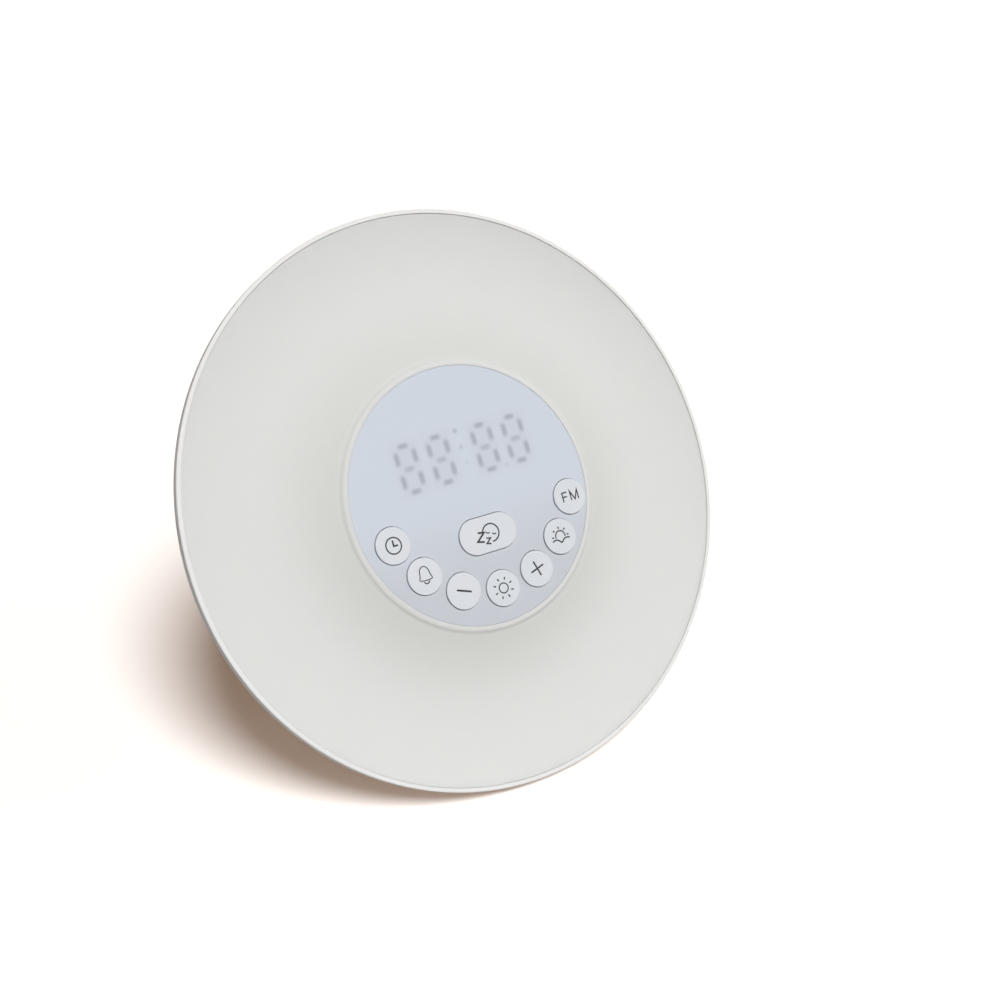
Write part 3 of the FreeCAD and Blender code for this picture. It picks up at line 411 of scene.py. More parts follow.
def grained(tree, shader, place, grain, relief, rough):
    """Surface grain: noise of that size in millimetres gives the relief and a little uneven gloss."""
    noise = add(tree, "ShaderNodeTexNoise", {"Vector": place, "Scale": 1.0 / grain, "Detail": 2.0})
    bump = add(tree, "ShaderNodeBump", {
        "Height": noise.outputs["Fac"], "Distance": relief * MM, "Strength": 1.0})
    tree.links.new(bump.outputs["Normal"], shader.inputs["Normal"])
    gloss = add(tree, "ShaderNodeMapRange", {
        "Value": noise.outputs["Fac"], "From Min": 0.3, "From Max": 0.7,
        "To Min": rough - 0.04, "To Max": rough + 0.04})
    tree.links.new(gloss.outputs["Result"], shader.inputs["Roughness"])


def moulded(name, first, second, rough, grain, relief, patch, values):
    """Finish whose colour drifts between two close values over patches, with a fine grain."""
    material, tree, shader = started(name, values)
    place = on_face(tree)
    noise = add(tree, "ShaderNodeTexNoise", {"Vector": place, "Scale": 1.0 / patch, "Detail": 3.0})
    share = add(tree, "ShaderNodeMapRange", {
        "Value": noise.outputs["Fac"], "From Min": 0.35, "From Max": 0.65})
    tree.links.new(blended(tree, share.outputs["Result"], first, second), shader.inputs["Base Color"])
    grained(tree, shader, place, grain, relief, rough)
    return material


def opal_polycarbonate(colours, size):
    """Opal polycarbonate, injection moulded with a satin face: ivory, with painted shade greying it beside
    the panel, and whiter on the thin bead, a painted glow of the light that goes through the edge."""
    material, tree, shader = started("opal_polycarbonate_satin", {
        "IOR": 1.58, "Specular IOR Level": 0.3, "Subsurface Weight": 0.4,
        "Subsurface Radius": (1.0, 0.95, 0.85), "Subsurface Scale": 3 * MM})
    place = on_face(tree)
    flat = add(tree, "ShaderNodeVectorMath", {0: place, 1: (1.0, 1.0, 0.0)}, operation="MULTIPLY")
    radius = add(tree, "ShaderNodeVectorMath", {0: flat.outputs["Vector"]}, operation="LENGTH")
    outward = add(tree, "ShaderNodeMapRange", {
        "Value": radius.outputs["Value"], "From Min": size.collar_root, "From Max": size.valley_radius},
        interpolation_type="SMOOTHSTEP")
    bead_end = size.collar + size.bead_flat
    on_bead = add(tree, "ShaderNodeMapRange", {
        "Value": radius.outputs["Value"], "From Min": bead_end + size.bead + size.bead_fillet,
        "From Max": bead_end}, interpolation_type="SMOOTHSTEP")
    # Painted shade: the dish's colour greys from the valley in towards the panel
    dish = blended(tree, outward.outputs["Result"], colours.dish_painted_shade, colours.dish)
    # Painted glow: the bead is coloured whiter than the dish beside it
    whole = blended(tree, on_bead.outputs["Result"], dish, colours.bead_painted_glow)
    tree.links.new(whole, shader.inputs["Base Color"])
    grained(tree, shader, place, grain=0.35, relief=0.003, rough=0.7)
    return material


def digit_masks(tree, vector):
    """Share of unlit window, and of the field round the digits, over a place centred on the digits. Folding
    the place about each digit's middle and each stroke's middle leaves one upright and one level stroke."""
    split = add(tree, "ShaderNodeSeparateXYZ", {0: vector})

    def fold(value, about):
        moved = add(tree, "ShaderNodeMath", {0: value, 1: about}, operation="SUBTRACT")
        return add(tree, "ShaderNodeMath", {0: moved.outputs[0]}, operation="ABSOLUTE").outputs[0]

    def inside(value, half, blur):
        return add(tree, "ShaderNodeMapRange", {
            "Value": value, "From Min": half + blur, "From Max": half - blur},
            interpolation_type="SMOOTHSTEP").outputs["Result"]

    def both(first, second, operation="MULTIPLY"):
        return add(tree, "ShaderNodeMath", {0: first, 1: second}, operation=operation).outputs[0]

    across = fold(fold(fold(split.outputs["X"], 0.0), DIGIT_PAIR), DIGIT_SPACING)
    rise = fold(split.outputs["Y"], 0.0)
    half_row = fold(rise, DIGIT_RISE / 2)
    upright = both(inside(fold(across, DIGIT_WIDTH / 2), *UPRIGHT_ACROSS),
                   inside(half_row, *UPRIGHT_ALONG))
    level = both(inside(fold(half_row, DIGIT_RISE / 2), *LEVEL_ACROSS), inside(across, *LEVEL_ALONG))
    middle_row = add(tree, "ShaderNodeMapRange", {
        "Value": rise, "From Max": MIDDLE_BAR_REACH, "To Min": MIDDLE_BAR_STRENGTH})
    marks = both(upright, both(level, middle_row.outputs["Result"]), "MAXIMUM")
    for x, y, radius, strength in DOTS:
        apart = add(tree, "ShaderNodeVectorMath", {0: vector, 1: (x, y, 0.0)}, operation="DISTANCE")
        marks = both(marks, both(inside(apart.outputs["Value"], radius, DOT_BLUR), strength), "MAXIMUM")
    field = both(inside(rise, *FIELD_HEIGHT), inside(across, *FIELD_WIDTH))
    return marks, field


def frosted_acrylic(colours):
    """Frosted acrylic sheet with a pale blue back print: a satin blue-white, through which the dark windows
    of the unlit digits show as blurred lilac strokes; painted shade makes it greyer in the crescent under the
    keys."""
    material, tree, shader = started("frosted_acrylic_back_printed", {"IOR": 1.49})
    place = on_face(tree)
    split = add(tree, "ShaderNodeSeparateXYZ", {0: place})
    # Painted shade: the panel's colour greys from the digits down towards the keys
    lower = add(tree, "ShaderNodeMapRange", {
        "Value": split.outputs["Y"], "From Min": SHADE_CRESCENT_START, "From Max": SHADE_CRESCENT_END},
        interpolation_type="SMOOTHSTEP")
    sheet = blended(tree, lower.outputs["Result"], colours.panel, colours.panel_painted_shade)
    centred = add(tree, "ShaderNodeMapping", {
        "Vector": place, "Location": (DIGITS_X, DIGITS_Y, PANEL_TOP),
        "Rotation": (0.0, 0.0, math.radians(DIGITS_TURN))}, vector_type="TEXTURE")
    marks, field = digit_masks(tree, centred.outputs["Vector"])
    field_share = add(tree, "ShaderNodeMath", {0: field, 1: FIELD_STRENGTH}, operation="MULTIPLY")
    toned = blended(tree, field_share.outputs[0], sheet, colours.digit_field)
    share = add(tree, "ShaderNodeMath", {0: marks, 1: DIGIT_STRENGTH}, operation="MULTIPLY")
    tree.links.new(blended(tree, share.outputs[0], toned, colours.digit), shader.inputs["Base Color"])
    grained(tree, shader, place, grain=0.25, relief=0.002, rough=0.42)
    return material


def glass_epoxy(name, mask, trace):
    """Glass-epoxy circuit board under glossy solder mask: straight copper tracks show as a lighter tone of
    the mask, here at a 1.3 mm pitch."""
    material, tree, shader = started(name, {"IOR": 1.52})
    place = on_face(tree)
    tracks = add(tree, "ShaderNodeTexBrick", {
        "Vector": place, "Scale": 1.0, "Brick Width": 7.8, "Row Height": 1.3, "Mortar Size": 0.16,
        "Color1": (*linear(mask), 1.0), "Color2": (*linear(mask), 1.0), "Mortar": (*linear(trace), 1.0)})
    tree.links.new(tracks.outputs["Color"], shader.inputs["Base Color"])
    grained(tree, shader, place, grain=0.4, relief=0.004, rough=0.3)
    return material


def ribbon_cable_vinyl():
    """Grey vinyl ribbon cable: one ridge and one groove for every wire, 1.27 mm apart, with painted shade
    darkening each groove.
    """
    material, tree, shader = started("ribbon_cable_vinyl", {"IOR": 1.53})
    place = on_face(tree)
    wave = add(tree, "ShaderNodeTexWave", {"Vector": place, "Scale": 1.0 / WIRE_PITCH / WAVE_BANDS},
               bands_direction="X")
    # Painted shade: darker bands stand for the shade in the grooves between the wires
    groove = blended(tree, wave.outputs["Fac"], linear("8B8D90"), linear("B4B6B9"))
    tree.links.new(groove, shader.inputs["Base Color"])
    grained(tree, shader, place, grain=0.6, relief=0.004, rough=0.5)
    return material


# One plain finish per material slot of the record: two close colours, roughness, grain, relief and patch
# size in millimetres, and shader values
PLAIN = {
    # White ABS off a spark-textured tool: matt, with a fine even grain
    "white_abs": ("abs_spark_textured", "F1F0EE", "EDECEA", 0.5, 0.45, 0.012, 40.0, {"IOR": 1.53}),
    # White ABS inside the lamp, straight off a plain tool
    "inner_white": ("abs_plain_white", "EEEFEF", "E8E9EA", 0.4, 1.0, 0.004, 20.0, {"IOR": 1.53}),
    # Grey ABS block that keeps stray light out of the digits
    "display_case": ("abs_light_block", "9A9A9E", "8E8E93", 0.55, 0.5, 0.006, 12.0, {"IOR": 1.53}),
    # Milky epoxy in the digit windows
    "display_window": ("epoxy_milky", "D8D6DC", "CFCBD6", 0.3, 1.0, 0.002, 5.0, {"IOR": 1.54}),
    # Black open-cell foam, which takes all gloss away
    "foam": ("polyurethane_foam", "2A2A2C", "1E1E20", 0.9, 0.6, 0.12, 3.0, {"IOR": 1.45}),
    # Black moulding compound with a dull grain
    "black_plastic": ("moulding_compound", "232325", "2B2B2D", 0.6, 0.3, 0.006, 4.0, {"IOR": 1.55}),
    # Drawn aluminium can
    "can_aluminium": ("aluminium_drawn", "C9CBCE", "BFC1C5", 0.32, 0.4, 0.002, 4.0, {"Metallic": 1.0}),
    # Ivory nylon plug housings
    "connector_plastic": ("nylon_ivory", "E9E4D4", "E3DDCB", 0.45, 0.6, 0.003, 6.0, {"IOR": 1.53}),
    # Bright zinc plate on screws and the socket's shell
    "steel": ("steel_zinc_plated", "C5C6C8", "B7B9BC", 0.3, 0.3, 0.002, 3.0, {"Metallic": 1.0}),
    # Phosphor-filled silicone over the white lamps, yellow when unlit
    "white_lamp": ("silicone_phosphor", "F1E6A0", "EBDD8C", 0.35, 0.5, 0.003, 2.0, {"IOR": 1.41}),
    # Clear silicone in a white case, for the colour lamps
    "colour_lamp": ("silicone_clear", "F2F2F0", "E2E4E6", 0.25, 0.8, 0.002, 2.0, {"IOR": 1.41}),
    # Pressed and zinc-plated basket
    "speaker_steel": ("steel_pressed", "A9ABAE", "9C9EA2", 0.38, 0.5, 0.003, 6.0, {"Metallic": 1.0}),
    # Sintered ferrite, dull dark grey
    "ferrite": ("ferrite_sintered", "3A3B3D", "313234", 0.7, 0.4, 0.012, 3.0, {"IOR": 1.6}),
    # Black paper pulp with visible fibres
    "paper_cone": ("paper_pulp_black", "1F1F20", "2E2D2C", 0.9, 0.5, 0.05, 1.5, {"IOR": 1.5}),
    # Butyl roll of the speaker, satin black
    "soft_rubber": ("butyl_rubber", "1C1C1D", "242425", 0.6, 0.7, 0.006, 4.0, {"IOR": 1.52}),
    # Silicone feet, pale grey and slightly tacky
    "foot_rubber": ("silicone_rubber_grey", "C9C9C8", "BFBFBE", 0.62, 0.8, 0.01, 3.0, {"IOR": 1.43}),
    # Silicone bush of the aerial
    "grommet_rubber": ("silicone_rubber_white", "DFDFDD", "D6D6D4", 0.55, 0.8, 0.006, 3.0, {"IOR": 1.43}),
    # Red vinyl insulation
    "wire_red": ("vinyl_insulation_red", "B3322B", "A52C27", 0.42, 0.8, 0.003, 5.0, {"IOR": 1.53}),
}


def plain_finish(slot):
    """The table's finish for a slot."""
    name, first, second, rough, grain, relief, patch, values = PLAIN[slot]
    return moulded(name, linear(first), linear(second), rough, grain, relief, patch, values)


def dress(node, material):
    """Give a CAD node its finish."""
    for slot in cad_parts[node].material_slots:
        slot.material = material


# Rim and lamp dish

def floor_plane(y, height):
    """Depth on the face, at a height up it, of a level plane a given height above the table."""
    return (height - ORIGIN[2] / MM - y * math.cos(LEAN)) / math.sin(LEAN)


class CLOCK_OT_rim(bpy.types.Operator):
    """Add the rim: a flat-topped lip, a side band, a ledge under the dish and a skirt inside the shell"""
    bl_idname = "clock.rim"
    bl_label = "Rim"
    bl_options = {"REGISTER", "UNDO"}

    def execute(self, context):
        """Turn the rim's section about Z; where the skirt meets the flat base, it ends on a level plane."""
        size = sizes_of(context)
        inner = size.rim_radius - size.lip_width
        inner_edge = (inner + size.lip_edge, size.lip_height - size.lip_edge)
        outer_edge = (size.rim_radius - size.lip_round, size.lip_height - size.lip_round)
        side_edge = (size.rim_radius - size.side_edge, size.side_edge - size.side_depth)
        profile = np.concatenate((
            stepped(path((size.ledge_inner, -size.ledge), (inner, -size.ledge)), 0.4),
            arc(inner_edge, size.lip_edge, 180, 90, 10),
            arc(outer_edge, size.lip_round, 90, 0, 18),
            arc(side_edge, size.side_edge, 0, -90, 10),
            path((size.gap_radius, -size.shell_gap), (size.skirt_outer, -size.shell_gap),
                 (size.skirt_outer, -size.skirt_depth), (size.skirt_inner, -size.skirt_depth),
                 (size.skirt_inner, -size.shell_gap)),
        ))
        rings = revolved(profile, RIM_SIDES)
        base = floor_plane(rings[..., 1], SHELL_BASE)
        skirt = rings[..., 2] < -size.shell_gap - SKIRT_MARGIN
        rings[..., 2] = np.where(skirt, np.maximum(rings[..., 2], np.minimum(base, -size.shell_gap)),
                                 rings[..., 2])
        # White ABS with a satin skin: the lip shows a shade whiter than the dish, and its side stays dull
        material = moulded("abs_satin_white", tuple(context.scene.clock_colours.rim), linear("EEEEEC"),
                           rough=0.5, grain=0.6, relief=0.002, patch=30.0,
                           values={"IOR": 1.53, "Specular IOR Level": 0.15})
        piece("rim", [skin(rings, tube=True)], "housing", material, ["rim_ring"])
        return {"FINISHED"}


class CLOCK_OT_lamp_dish(bpy.types.Operator):
    """Add the opal lamp dish: a wide valley, a bead round the panel and a collar behind it"""
    bl_idname = "clock.lamp_dish"
    bl_label = "Lamp Dish"
    bl_options = {"REGISTER", "UNDO"}

    def execute(self, context):
        """Turn the dish's section about Z. The fillet's middle is one bead and one fillet radius from the
        bead's middle, and the valley's radius less the fillet's from the valley's middle."""
        size = sizes_of(context)
        dish_edge = size.dish_outer - size.dish_round
        valley_height = math.sqrt(size.valley_arc ** 2 - (dish_edge - size.valley_radius) ** 2)
        valley = np.array((size.valley_radius, valley_height))
        bead = np.array((size.collar + size.bead_flat, size.bead_top - size.bead))
        apart = math.dist(valley, bead)
        from_bead = size.bead + size.bead_fillet
        from_valley = size.valley_arc - size.bead_fillet
        along = (from_bead ** 2 - from_valley ** 2 + apart ** 2) / (2 * apart)
        across = math.sqrt(from_bead ** 2 - along ** 2)
        unit = (valley - bead) / apart
        fillet = bead + unit * along + np.array((unit[1], -unit[0])) * across
        bead_end = math.degrees(math.atan2(*(fillet - bead)[::-1]))
        valley_start = math.degrees(math.atan2(*(fillet - valley)[::-1])) % 360
        edge_turn = math.degrees(math.acos((dish_edge - valley[0]) / size.valley_arc))
        back = size.valley_arc + size.dish_wall
        back_start = math.degrees(math.asin((valley[1] + size.dish_land) / back))
        back_end = 180 - math.degrees(math.acos((valley[0] - size.collar_root) / back))
        profile = np.concatenate((
            path((size.collar, -size.collar_depth), (size.collar, size.bead_top)),
            arc(bead, size.bead, 90, bead_end, 20),
            arc(fillet, size.bead_fillet, bead_end + 180, valley_start, 16)[1:-1],
            arc(valley, size.valley_arc, valley_start, 360 - edge_turn, 72),
            arc((dish_edge, -size.dish_round), size.dish_round, 90, 0, 6)[1:],
            path((size.dish_outer, -size.dish_land)),
            arc(valley, back, 360 - back_start, 360 - back_end, 24),
            path((size.collar_outer, -size.collar_top), (size.collar_outer, -size.collar_depth)),
        ))
        material = opal_polycarbonate(context.scene.clock_colours, size)
        piece("lamp_dish", [skin(revolved(profile, DISH_SIDES), tube=True)], "housing", material,
              ["front_diffuser"])
        return {"FINISHED"}


class CLOCK_OT_panel(bpy.types.Operator):
    """Give the panel its frosted finish with the unlit digits behind it"""
    bl_idname = "clock.panel"
    bl_label = "Panel"
    bl_options = {"REGISTER", "UNDO"}

    def execute(self, context):
        """Set the finish on the panel's own node."""
        dress("display_panel", frosted_acrylic(context.scene.clock_colours))
        return {"FINISHED"}


# Keys

def key_plan(size):
    """Name, middle, reach and radius of every key; a round key has no reach."""
    keys = []
    for index, name in enumerate(KEY_NAMES):
        turn = math.radians(KEY_TURN + KEY_PITCH * (index - len(KEY_NAMES) // 2) - 90)
        middle = (KEY_ARC_CENTRE[0] + KEY_ARC * math.cos(turn), KEY_ARC_CENTRE[1] + KEY_ARC * math.sin(turn))
        keys.append((name, middle, 0.0, size.key_radius))
    width = size.snooze_width / 2
    keys.append(("snooze", SNOOZE_PLACE, size.snooze_length / 2 - width, width))
    return keys


def crown(points, reach, radius, size):
    """Height of a key's top: it falls with the square of the way from its middle line to its edge."""
    beyond = np.maximum(np.abs(points[..., 0]) - reach, 0.0)
    way = np.hypot(beyond, points[..., 1]) / radius
    return size.key_top - size.key_crown * way ** 2


def key_cap(middle, reach, radius, size):
    """Stem, flange, straight side, rolled edge and crowned top of one key, as rings from the stem up."""
    def ring(outline, height):
        return np.column_stack((outline, np.full(KEY_SIDES, height)))

    body = stadium(reach, radius)
    flange = stadium(reach, radius + KEY_FLANGE)
    inward = min(1.0, KEY_STEM_REACH / math.hypot(*middle)) - 1
    stem_middle = np.array(middle) * inward
    stem = stadium(0.0, KEY_STEM) + stem_middle
    rings = [ring(stem, KEY_STEM_END), ring(stem, KEY_FLANGE_LOW), ring(flange, KEY_FLANGE_LOW),
             ring(flange, KEY_FLANGE_TOP), ring(body, KEY_FLANGE_TOP), ring(body, PANEL_TOP)]
    for turn in np.radians(np.linspace(0, 90, 12)):
        outline = stadium(reach, radius - size.key_edge * (1 - math.cos(turn)))
        fall = size.key_edge * (1 - math.sin(turn))
        rings.append(np.column_stack((outline, crown(outline, reach, radius, size) - fall)))
    for share in np.linspace(1, 0, 9)[1:-1]:
        outline = stadium(reach, radius - size.key_edge) * share
        rings.append(np.column_stack((outline, crown(outline, reach, radius, size))))
    grid = np.array(rings)
    poles = path((*stem_middle, KEY_STEM_END), (0, 0, size.key_top))
    return skin(grid + (*middle, 0.0), poles=poles + (*middle, 0.0))


class CLOCK_OT_keys(bpy.types.Operator):
    """Add the seven round keys and the long snooze key"""
    bl_idname = "clock.keys"
    bl_label = "Keys"
    bl_options = {"REGISTER", "UNDO"}

    def execute(self, context):
        """Build each cap on its own sliding body."""
        size = sizes_of(context)
        # White ABS caps off a satin tool: clean and even, with a soft sheen on the rolled edge
        material = moulded("abs_satin_key", tuple(context.scene.clock_colours.key), linear("DDE1E7"),
                           rough=0.42, grain=0.4, relief=0.002, patch=10.0, values={"IOR": 1.53})
        for name, middle, reach, radius in key_plan(size):
            piece("cap_" + name, [key_cap(middle, reach, radius, size)], "key_" + name, material,
                  ["button_" + name])
        return {"FINISHED"}


# Printed marks: each stroke is (points, width) and may be closed

def turned(points, degrees):
    """Points turned about the origin."""
    turn = math.radians(degrees)
    return points @ np.array(((math.cos(turn), math.sin(turn)), (-math.sin(turn), math.cos(turn))))


def clock_marks():
    """Round dial with its hands at three o'clock."""
    return [(arc((0, 0), 2.4, 0, 360, 49)[:-1], 0.4, True),
            (path((0, 1.6), (0, -0.15), (1.35, -0.15)), 0.5, False)]


def bell_marks():
    """Outline of a bell with a flared mouth, and the clapper below it."""
    bell = path((-2.35, -1.15), (-1.6, 0.1), (-1.5, 1.9), (-0.6, 2.9), (0.6, 2.9), (1.45, 1.9), (1.7, 0.1),
                (2.35, -1.3))
    return [(softened(bell, 3, True), 0.3, True), (arc((0.05, -1.35), 0.85, 190, 350, 17), 0.34, False)]


def minus_marks():
    """One bar, turned as the keys round the arc are."""
    return [(turned(path((-2.4, 0), (2.4, 0)), -20), 0.55, False)]


def sun_marks():
    """Small circle with eight short rays."""
    rays = [(turned(path((2.5, 0), (3.35, 0)), 22.5 + 45 * index), 0.42, False) for index in range(8)]
    return [(arc((0, 0), 1.5, 0, 360, 41)[:-1], 0.36, True)] + rays


def plus_marks():
    """Two crossed bars, turned the other way from the minus."""
    return [(turned(path((-2.45, 0), (2.45, 0)), angle), 0.5, False) for angle in (17, 107)]


def sunset_marks():
    """Half sun with five rays over a horizon that dips in the middle."""
    rays = [(turned(path((2.3, 0), (3.0, 0)), angle), 0.42, False) for angle in (0, 45, 90, 135, 180)]
    horizon = path((-3.1, -1.2), (-2.3, -0.8), (-1.1, -0.9), (-0.2, -1.95), (0.2, -1.95), (1.1, -0.9),
                   (2.3, -0.8), (3.1, -1.15))
    return [(arc((0, 0.05), 1.65, -15, 195, 33), 0.38, False), (softened(horizon, 3), 0.42, False)] + rays


def fm_marks():
    """The letters of the radio band."""
    return [(path((-2.55, -1.35), (-2.55, 1.5), (-0.85, 1.5)), 0.42, False),
            (path((-2.55, 0.15), (-1.05, 0.15)), 0.42, False),
            (path((0.3, -1.35), (0.3, 1.5), (1.6, -1.2), (2.9, 1.5), (2.9, -1.35)), 0.4, False)]


def snooze_marks():
    """Sleeping face, tilted, with a large and a small Z beside its chin."""
    face = arc((0.85, 0.1), 2.7, -92, 168, 49)
    eyes = [(turned(arc((x, 0.5), 0.62, 205, 335, 9), -20) + (0.85, -0.1), 0.36, False) for x in (-1.1, 1.05)]
    return [(face, 0.42, False)] + eyes + [
        (path((-3.4, 1.0), (-1.4, 0.65), (-4.1, -1.55), (-1.95, -2.1)), 0.56, False),
        (path((-1.1, -1.15), (0.25, -1.4), (-1.35, -2.75), (0.05, -3.1)), 0.44, False)]


MARKS = {"clock": clock_marks, "bell": bell_marks, "minus": minus_marks, "sun": sun_marks,
         "plus": plus_marks, "sunset": sunset_marks, "fm": fm_marks, "snooze": snooze_marks}


def stroke(points, width, closed, middle, reach, radius, size):
    """Flat bar of ink along a path. Each point's two sides lie half a width off along the mitre, the mean of
    its two runs' normals over the cosine between them, and the bar follows the key's crown."""
    if not closed:
        points = stepped(points, INK_STEP)
    runs = np.roll(points, -1, 0) - points if closed else np.diff(points, axis=0)
    normals = np.stack((-runs[:, 1], runs[:, 0]), 1) / np.linalg.norm(runs, axis=1)[:, None]
    before = np.roll(normals, 1, 0) if closed else np.concatenate((normals[:1], normals))
    after = normals if closed else np.concatenate((normals, normals[-1:]))
    mitre = (before + after) / (1 + np.sum(before * after, 1))[:, None]
    sides = (points + mitre * width / 2, points - mitre * width / 2)
    corners = []
    for outline, rise in ((sides[0], INK_ROOT), (sides[1], INK_ROOT), (sides[1], size.ink),
                          (sides[0], size.ink)):
        corners.append(np.column_stack((outline + middle, crown(outline, reach, radius, size) + rise)))
    return skin(np.stack(corners, 1), tube=closed)


class CLOCK_OT_key_marks(bpy.types.Operator):
    """Add the printed function marks on the keys"""
    bl_idname = "clock.key_marks"
    bl_label = "Key Marks"
    bl_options = {"REGISTER", "UNDO"}

    def execute(self, context):
        """Lay each key's strokes on its crown, on the key's own body."""
        size = sizes_of(context)
        # Screen-printed ink: dark grey, a thin even film with a slight gloss
        material = moulded("screen_print_ink", tuple(context.scene.clock_colours.ink), linear("434346"),
                           rough=0.4, grain=0.15, relief=0.001, patch=1.0, values={"IOR": 1.5})
        for name, middle, reach, radius in key_plan(size):
            bars = [stroke(points, width, closed, middle, reach, radius, size)
                    for points, width, closed in MARKS[name]()]
            piece("print_" + name, bars, "key_" + name, material)
        return {"FINISHED"}


class CLOCK_OT_finishes(bpy.types.Operator):
    """Give every other piece, outside and inside, the finish of its material slot"""
    bl_idname = "clock.finishes"
    bl_label = "Other Finishes"
    bl_options = {"REGISTER", "UNDO"}

    def execute(self, context):
        """Read each node's slot from the material that it came with."""
        made = {
            "green_board": glass_epoxy("glass_epoxy_green", "1E5B39", "2F7A4E"),
            "white_board": glass_epoxy("glass_epoxy_white", "EDEEEC", "DCDEDC"),
            "ribbon_grey": ribbon_cable_vinyl(),
        }
        for name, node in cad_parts.items():
            slot = node.material_slots[0].material.name
            if slot in PLAIN and slot not in made:
                made[slot] = plain_finish(slot)
            if slot in made:
                dress(name, made[slot])
        return {"FINISHED"}


# Stage

def floor_paint(whiteness, lift):
    """Matt white studio board. Pictures, reflections and clear pieces see it whiter, so that it meets the
    white room without an edge, and with a warm tone that shows only in the shadow."""
    material = bpy.data.materials.new("studio_board_white")
    material.use_nodes = True
    tree = material.node_tree
    tree.nodes.clear()
    ray = add(tree, "ShaderNodeLightPath")
    seen = add(tree, "ShaderNodeMath", {0: ray.outputs["Is Camera Ray"], 1: ray.outputs["Is Glossy Ray"]},
               operation="MAXIMUM")
    seen = add(tree, "ShaderNodeMath", {0: seen.outputs[0], 1: ray.outputs["Is Transmission Ray"]},
               operation="MAXIMUM")
    paint = blended(tree, seen.outputs[0], linear(FLOOR_BOUNCE), (whiteness, whiteness, whiteness))
    board = add(tree, "ShaderNodeBsdfDiffuse", {"Color": paint})
    strength = add(tree, "ShaderNodeMath", {0: seen.outputs[0], 1: lift}, operation="MULTIPLY")
    glow = add(tree, "ShaderNodeEmission", {
        "Color": (*SHADOW_WARMTH, 1.0), "Strength": strength.outputs[0]})
    both = add(tree, "ShaderNodeAddShader", {0: board.outputs[0], 1: glow.outputs[0]})
    add(tree, "ShaderNodeOutputMaterial", {"Surface": both.outputs[0]})
    return material


def surroundings(scene, strength):
    """Pale room all round; pictures and clear pieces see plain white."""
    world = bpy.data.worlds.new("pale_room")
    scene.world = world
    world.use_nodes = True
    tree = world.node_tree
    tree.nodes.clear()
    ray = add(tree, "ShaderNodeLightPath")
    seen = add(tree, "ShaderNodeMath", {
        0: ray.outputs["Is Camera Ray"], 1: ray.outputs["Is Transmission Ray"]}, operation="MAXIMUM")
    room = add(tree, "ShaderNodeBackground", {"Color": (0.94, 0.97, 1.0, 1.0), "Strength": strength})
    white = add(tree, "ShaderNodeBackground", {"Color": (1.0, 1.0, 1.0, 1.0), "Strength": 1.0})
    mix = add(tree, "ShaderNodeMixShader", {0: seen.outputs[0], 1: room.outputs[0], 2: white.outputs[0]})
    add(tree, "ShaderNodeOutputWorld", {"Surface": mix.outputs[0]})


def soft_lamp(name, azimuth, elevation, spread, strength, tint):
    """Even studio light from one direction: azimuth from the front towards the right, height, and the
    light's own width, in degrees."""
    data = bpy.data.lights.new(name, "SUN")
    data.angle = math.radians(spread)
    data.energy = strength
    data.color = tint
    lamp = bpy.data.objects.new(name, data)
    bpy.context.scene.collection.objects.link(lamp)
    lamp.rotation_euler = (math.radians(90 - elevation), 0.0, math.radians(azimuth))


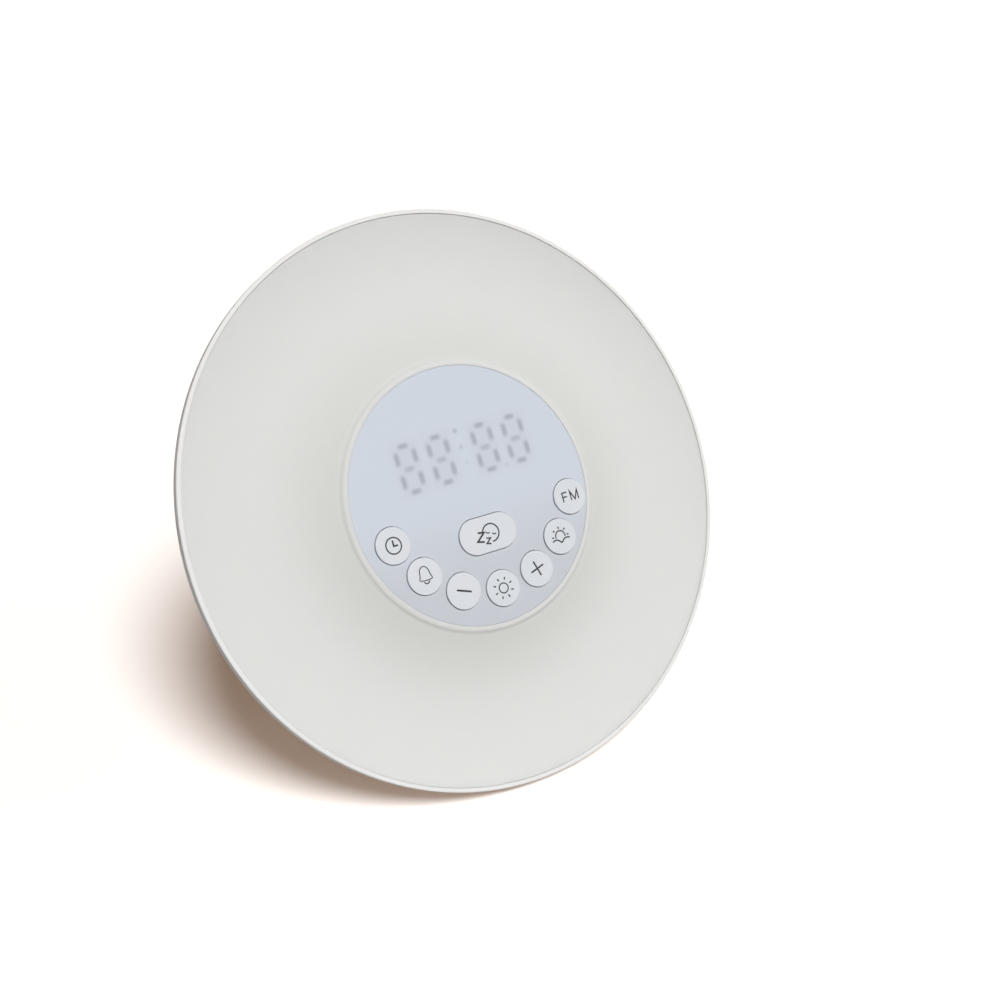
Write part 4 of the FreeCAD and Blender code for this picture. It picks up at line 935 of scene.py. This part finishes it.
class CLOCK_OT_stage(bpy.types.Operator):
    """Add the floor, the soft studio light and the camera"""
    bl_idname = "clock.stage"
    bl_label = "Stage"
    bl_options = {"REGISTER", "UNDO"}

    def execute(self, context):
        """Lay a wide floor at the feet, hang two lamps, and stand the camera where the picture was taken."""
        scene = context.scene
        stage = scene.clock_stage
        reach = FLOOR_REACH
        mesh = bpy.data.meshes.new("floor")
        mesh.from_pydata([(-reach, -reach, 0), (reach, -reach, 0), (reach, reach, 0), (-reach, reach, 0)], [],
                         [(0, 1, 2, 3)])
        mesh.materials.append(floor_paint(stage.floor_white, stage.shadow_lift))
        floor = bpy.data.objects.new("floor", mesh)
        scene.collection.objects.link(floor)
        surroundings(scene, stage.ambient)
        soft_lamp("front_light", azimuth=-7.0, elevation=52.5, spread=22.0, strength=stage.front_power,
                  tint=(1.0, 0.995, 0.99))
        soft_lamp("fill_light", azimuth=60.0, elevation=12.0, spread=60.0, strength=stage.fill_power,
                  tint=(1.0, 1.0, 1.0))
        data = bpy.data.cameras.new("camera")
        data.lens = stage.lens
        data.shift_x, data.shift_y = stage.shift
        data.clip_start = 0.01
        camera = bpy.data.objects.new("camera", data)
        scene.collection.objects.link(camera)
        turn = (Matrix.Rotation(-stage.azimuth, 4, "Z")
                @ Matrix.Rotation(math.pi / 2 - stage.elevation, 4, "X")
                @ Matrix.Rotation(stage.roll, 4, "Z"))
        camera.matrix_world = Matrix.Translation(stage.place) @ turn
        scene.camera = camera
        scene.view_settings.view_transform = "Standard"
        return {"FINISHED"}


STEPS = (CLOCK_OT_stage, CLOCK_OT_rim, CLOCK_OT_lamp_dish, CLOCK_OT_panel, CLOCK_OT_keys, CLOCK_OT_key_marks,
         CLOCK_OT_finishes)


class CLOCK_PT_build(bpy.types.Panel):
    """Buttons and values for building the clock"""
    bl_idname = "CLOCK_PT_build"
    bl_label = "Sunrise Alarm Clock"
    bl_space_type = "VIEW_3D"
    bl_region_type = "UI"
    bl_category = "Clock"

    def draw(self, context):
        """One button for each step, then the sizes, colours and stage values."""
        for step in STEPS:
            self.layout.operator(step.bl_idname)
        for group in (context.scene.clock_sizes, context.scene.clock_colours, context.scene.clock_stage):
            box = self.layout.box()
            for name in type(group).__annotations__:
                box.prop(group, name)


GROUPS = {"clock_sizes": ClockSizes, "clock_colours": ClockColours, "clock_stage": ClockStage}
CLASSES = (*GROUPS.values(), *STEPS, CLOCK_PT_build)


def register():
    """Register the classes and hang the value groups on the scene."""
    for kind in CLASSES:
        bpy.utils.register_class(kind)
    for name, group in GROUPS.items():
        setattr(bpy.types.Scene, name, PointerProperty(type=group))


def unregister():
    """Take the value groups and the classes away again."""
    for name in GROUPS:
        delattr(bpy.types.Scene, name)
    for kind in reversed(CLASSES):
        bpy.utils.unregister_class(kind)


def main():
    """Build the clock and its stage."""
    register()
    for step in STEPS:
        group, name = step.bl_idname.split(".")
        getattr(getattr(bpy.ops, group), name)()


if __name__ == "__main__":
    main()
